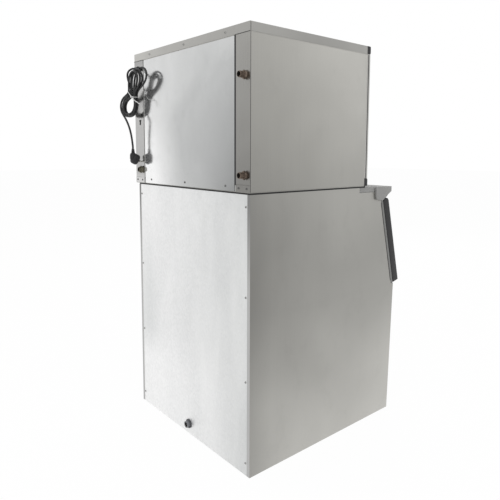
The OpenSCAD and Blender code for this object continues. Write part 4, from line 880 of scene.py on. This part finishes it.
def build_drain(bm):
    """Drain: ribbed round nut on the rear sheet, short pipe with a rounded rim, a bore painted near black as shade,
    and the bend inside.
    """
    lo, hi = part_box("drain_spout")
    pipe_z = (lo.z + hi.z) / 2
    at = facing_back(0, BIN_BACK, pipe_z)
    rows = []
    for h, r, notch in ((0.0, 0.0174, 0), (0.0004, 0.0175, 0.0007), (0.0040, 0.0175, 0.0007), (0.0047, 0.0170, 0),
                        (0.0050, 0.0162, 0), (0.0050, 0.0134, 0)):
        row = []
        for k, (c, s) in enumerate(circle(72)):
            q = r - notch if k % 4 == 0 else r
            row.append(bm.verts.new(at @ Vector((q * c, q * s, h))))
        rows.append(row)
    skin(bm, rows)
    lathe(bm, [(0.0046, 0.0130), (0.0070, 0.0130), (0.0074, 0.0126), (0.0092, 0.0126), (0.0096, 0.0130),
               (0.0138, 0.0130), (0.0146, 0.0127), (0.0150, 0.0120), (0.0149, 0.0096), (0.0143, 0.0086)], at, 48, 2)
    # the wall inside the bore is painted shade, near black
    lathe(bm, [(0.0143, 0.0086), (-0.030, 0.0086), (-0.060, 0.0084)], at, 48, 1)
    turn_y = lo.y + 0.013
    bend = [Vector((0, turn_y + 0.018 * (1 - math.sin(t)), pipe_z + 0.014 * (1 - math.cos(t))))
            for t in (0.0, 0.4, 0.8, 1.2, math.pi / 2)]
    straight = [Vector((0, y, pipe_z)) for y in (0.392, 0.36)]
    sweep(bm, straight + bend + [Vector((0, turn_y, hi.z))], 0.0128, 24, 2)


# ---- rounded sheets, dark strips of joints and painted shade, and trim ----
for nm in ("top_lid", "side_panel_left", "side_panel_right", "back_panel", "front_panel", "bin_front_panel"):
    rounded(nm, 0.0016, pick=on_box_edge(nm))
add("drain_end", mesh_of("drain_end", build_drain), mat=("drain_nut", "bore", "drain"),
    replaces=("drain_spout",))


def both(lo, hi):
    """A strip on the right and its mirror image on the left."""
    return [((-hi[0], *lo[1:]), (-lo[0], *hi[1:])), (lo, hi)]


def blocks(name, rows, mat, body="cabinet", turn=Matrix()):
    """A set of plain straight strips, each given by two corners in millimetres."""
    def build(bm):
        for lo, hi in rows:
            at = turn @ Matrix.Translation((Vector(lo) + Vector(hi)) / 2000)
            size = [(b - a) / 1000 for a, b in zip(lo, hi)]
            bmesh.ops.create_cube(bm, size=1, matrix=at @ Matrix.Diagonal((*size, 1)))
    return add(name, mesh_of(name, build), body, mat, 0)


# painted shade: a black bead in the seam along the -X post only, standing for the shaded groove
blocks("seam_shade_bead", [((-307.9, 393.6, 994), (-300.2, 396.2, 1471))], "rubber")
# partly real joints, partly painted shade: black strips at the head's corners where the gaps between sheets lie in
# shade
blocks("corner_joints_and_shade", both((378.8, 393, 973), (380.1, 394.6, 1471)) + both((378.8, -193, 973), (380.1, -188, 1471)),
       "rubber")
# partly real joints, partly painted shade: black lines across the posts under the lid and at 995 mm
blocks("post_joints_and_shade", both((308, 397.4, 1472), (380, 397.7, 1473.2)) + both((308, 397.4, 995), (380, 397.6, 995.4)),
       "rubber")
blocks("lid_lip", [((-300, 393.5, 1471.2), (300, 395.5, 1473))] + both((377, -182, 1471.2), (379.3, 394, 1473)),
       "side")
blocks("head_skirt", both((378.6, -182, 970.2), (379.8, 395.8, 972)) + [((-378.6, 394.6, 970.2), (378.6, 395.8, 972))],
       "side")
# painted shade: a dark patch in the shape of the slot, for the shade inside it
blocks("slot_shade", [((335.8, 397.2, 1211.5), (340.2, 397.8, 1225)), ((333.2, 397.2, 1225), (342.8, 397.8, 1232.5))],
       "recess")

# the next strips lie along the sloped door and are measured from its hinge line; DOOR_HALF is half its thickness
DOOR_LEAN = math.radians(-13.5)
DOOR_HALF = 17.5
HINGE_Y, HINGE_Z = -343.98, 899
hinge = Matrix.Translation((0, HINGE_Y / 1000, HINGE_Z / 1000)) @ Matrix.Rotation(DOOR_LEAN, 4, "X")
door_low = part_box("door_panel")[0].z * 1000
door_long = (HINGE_Z + DOOR_HALF * math.sin(DOOR_LEAN) - door_low) / math.cos(DOOR_LEAN)
blocks("grip_shade", [((-184, 4.6, 3.2 - door_long), (184, 14, 6.8 - door_long))], "black", "door",
       hinge)
# partly real joints, partly painted shadow: black lines along the door's edges at the frame
blocks("frame_joints_and_shade", both((370.5, 34.2, -338), (371.9, 37.6, 8)), "rubber", turn=hinge)
rounded("door_frame", 0.002)
rounded("front_canopy", 0.0028)
rounded("door_panel", 0.003, "door", segments=3)


# ---- floor and light ----
def seen_directly(tree):
    """1 for rays from the camera, off a gloss or through glass; 0 for those that light the part."""
    path = tree.nodes.new("ShaderNodeLightPath").outputs
    out = path["Is Camera Ray"]
    for kind in ("Is Glossy Ray", "Is Transmission Ray"):
        m = tree.nodes.new("ShaderNodeMath")
        m.operation = "MAXIMUM"
        tree.links.new(out, m.inputs[0])
        tree.links.new(path[kind], m.inputs[1])
        out = m.outputs[0]
    return out


def floor_finish():
    """White to the eye, with a trace of the shadow under the machine."""
    g = Graph("floor").set(Base_Color=(0.9, 0.9, 0.9, 1), Roughness=0.9)
    mixer = g.node("ShaderNodeMixShader")
    g.link(g.math("MULTIPLY", seen_directly(g.t), 0.97), mixer.inputs[0])
    g.link(g.b.outputs[0], mixer.inputs[1])
    g.link(g.node("ShaderNodeEmission").outputs[0], mixer.inputs[2])
    g.link(mixer.outputs[0], g.t.nodes["Material Output"].inputs["Surface"])
    return g.mat


floor_me = mesh_of("floor", lambda bm: bmesh.ops.create_grid(bm, x_segments=1, y_segments=1, size=30))
floor_me.materials.append(floor_finish())
floor = bpy.data.objects.new("floor", floor_me)
scene.collection.objects.link(floor)
floor.location.z = -0.0005

world = bpy.data.worlds.new("world")
scene.world = world
world.use_nodes = True
sky = world.node_tree
background = fill(sky.nodes["Background"], {"Color": (1, 1, 1, 1)})
level = fill(sky.nodes.new("ShaderNodeMapRange"), {"To_Min": 0.55, "To_Max": 1.0})
sky.links.new(seen_directly(sky), level.inputs["Value"])
sky.links.new(level.outputs["Result"], background.inputs["Strength"])


def lamp(name, loc, target, size, power):
    """Soft rectangular lamp that no gloss shows."""
    d = bpy.data.lights.new(name, "AREA")
    d.shape = "RECTANGLE"
    d.size, d.size_y = size
    d.energy = power
    o = bpy.data.objects.new(name, d)
    scene.collection.objects.link(o)
    o.location = loc
    o.rotation_euler = (Vector(target) - Vector(loc)).to_track_quat("-Z", "Y").to_euler()
    o.visible_glossy = False


lamp("key", (-1.2, 4.2, 3.2), (0, 0, 0.8), (2.6, 2.2), 70)
lamp("fill", (-4.2, -0.6, 2.4), (0, 0, 0.8), (2.4, 2.4), 40)
lamp("front", (2.6, -4.0, 3.0), (0, 0, 0.8), (2.6, 2.2), 60)
lamp("top", (0.2, 0.2, 4.4), (0, 0, 1), (3.0, 3.0), 40)
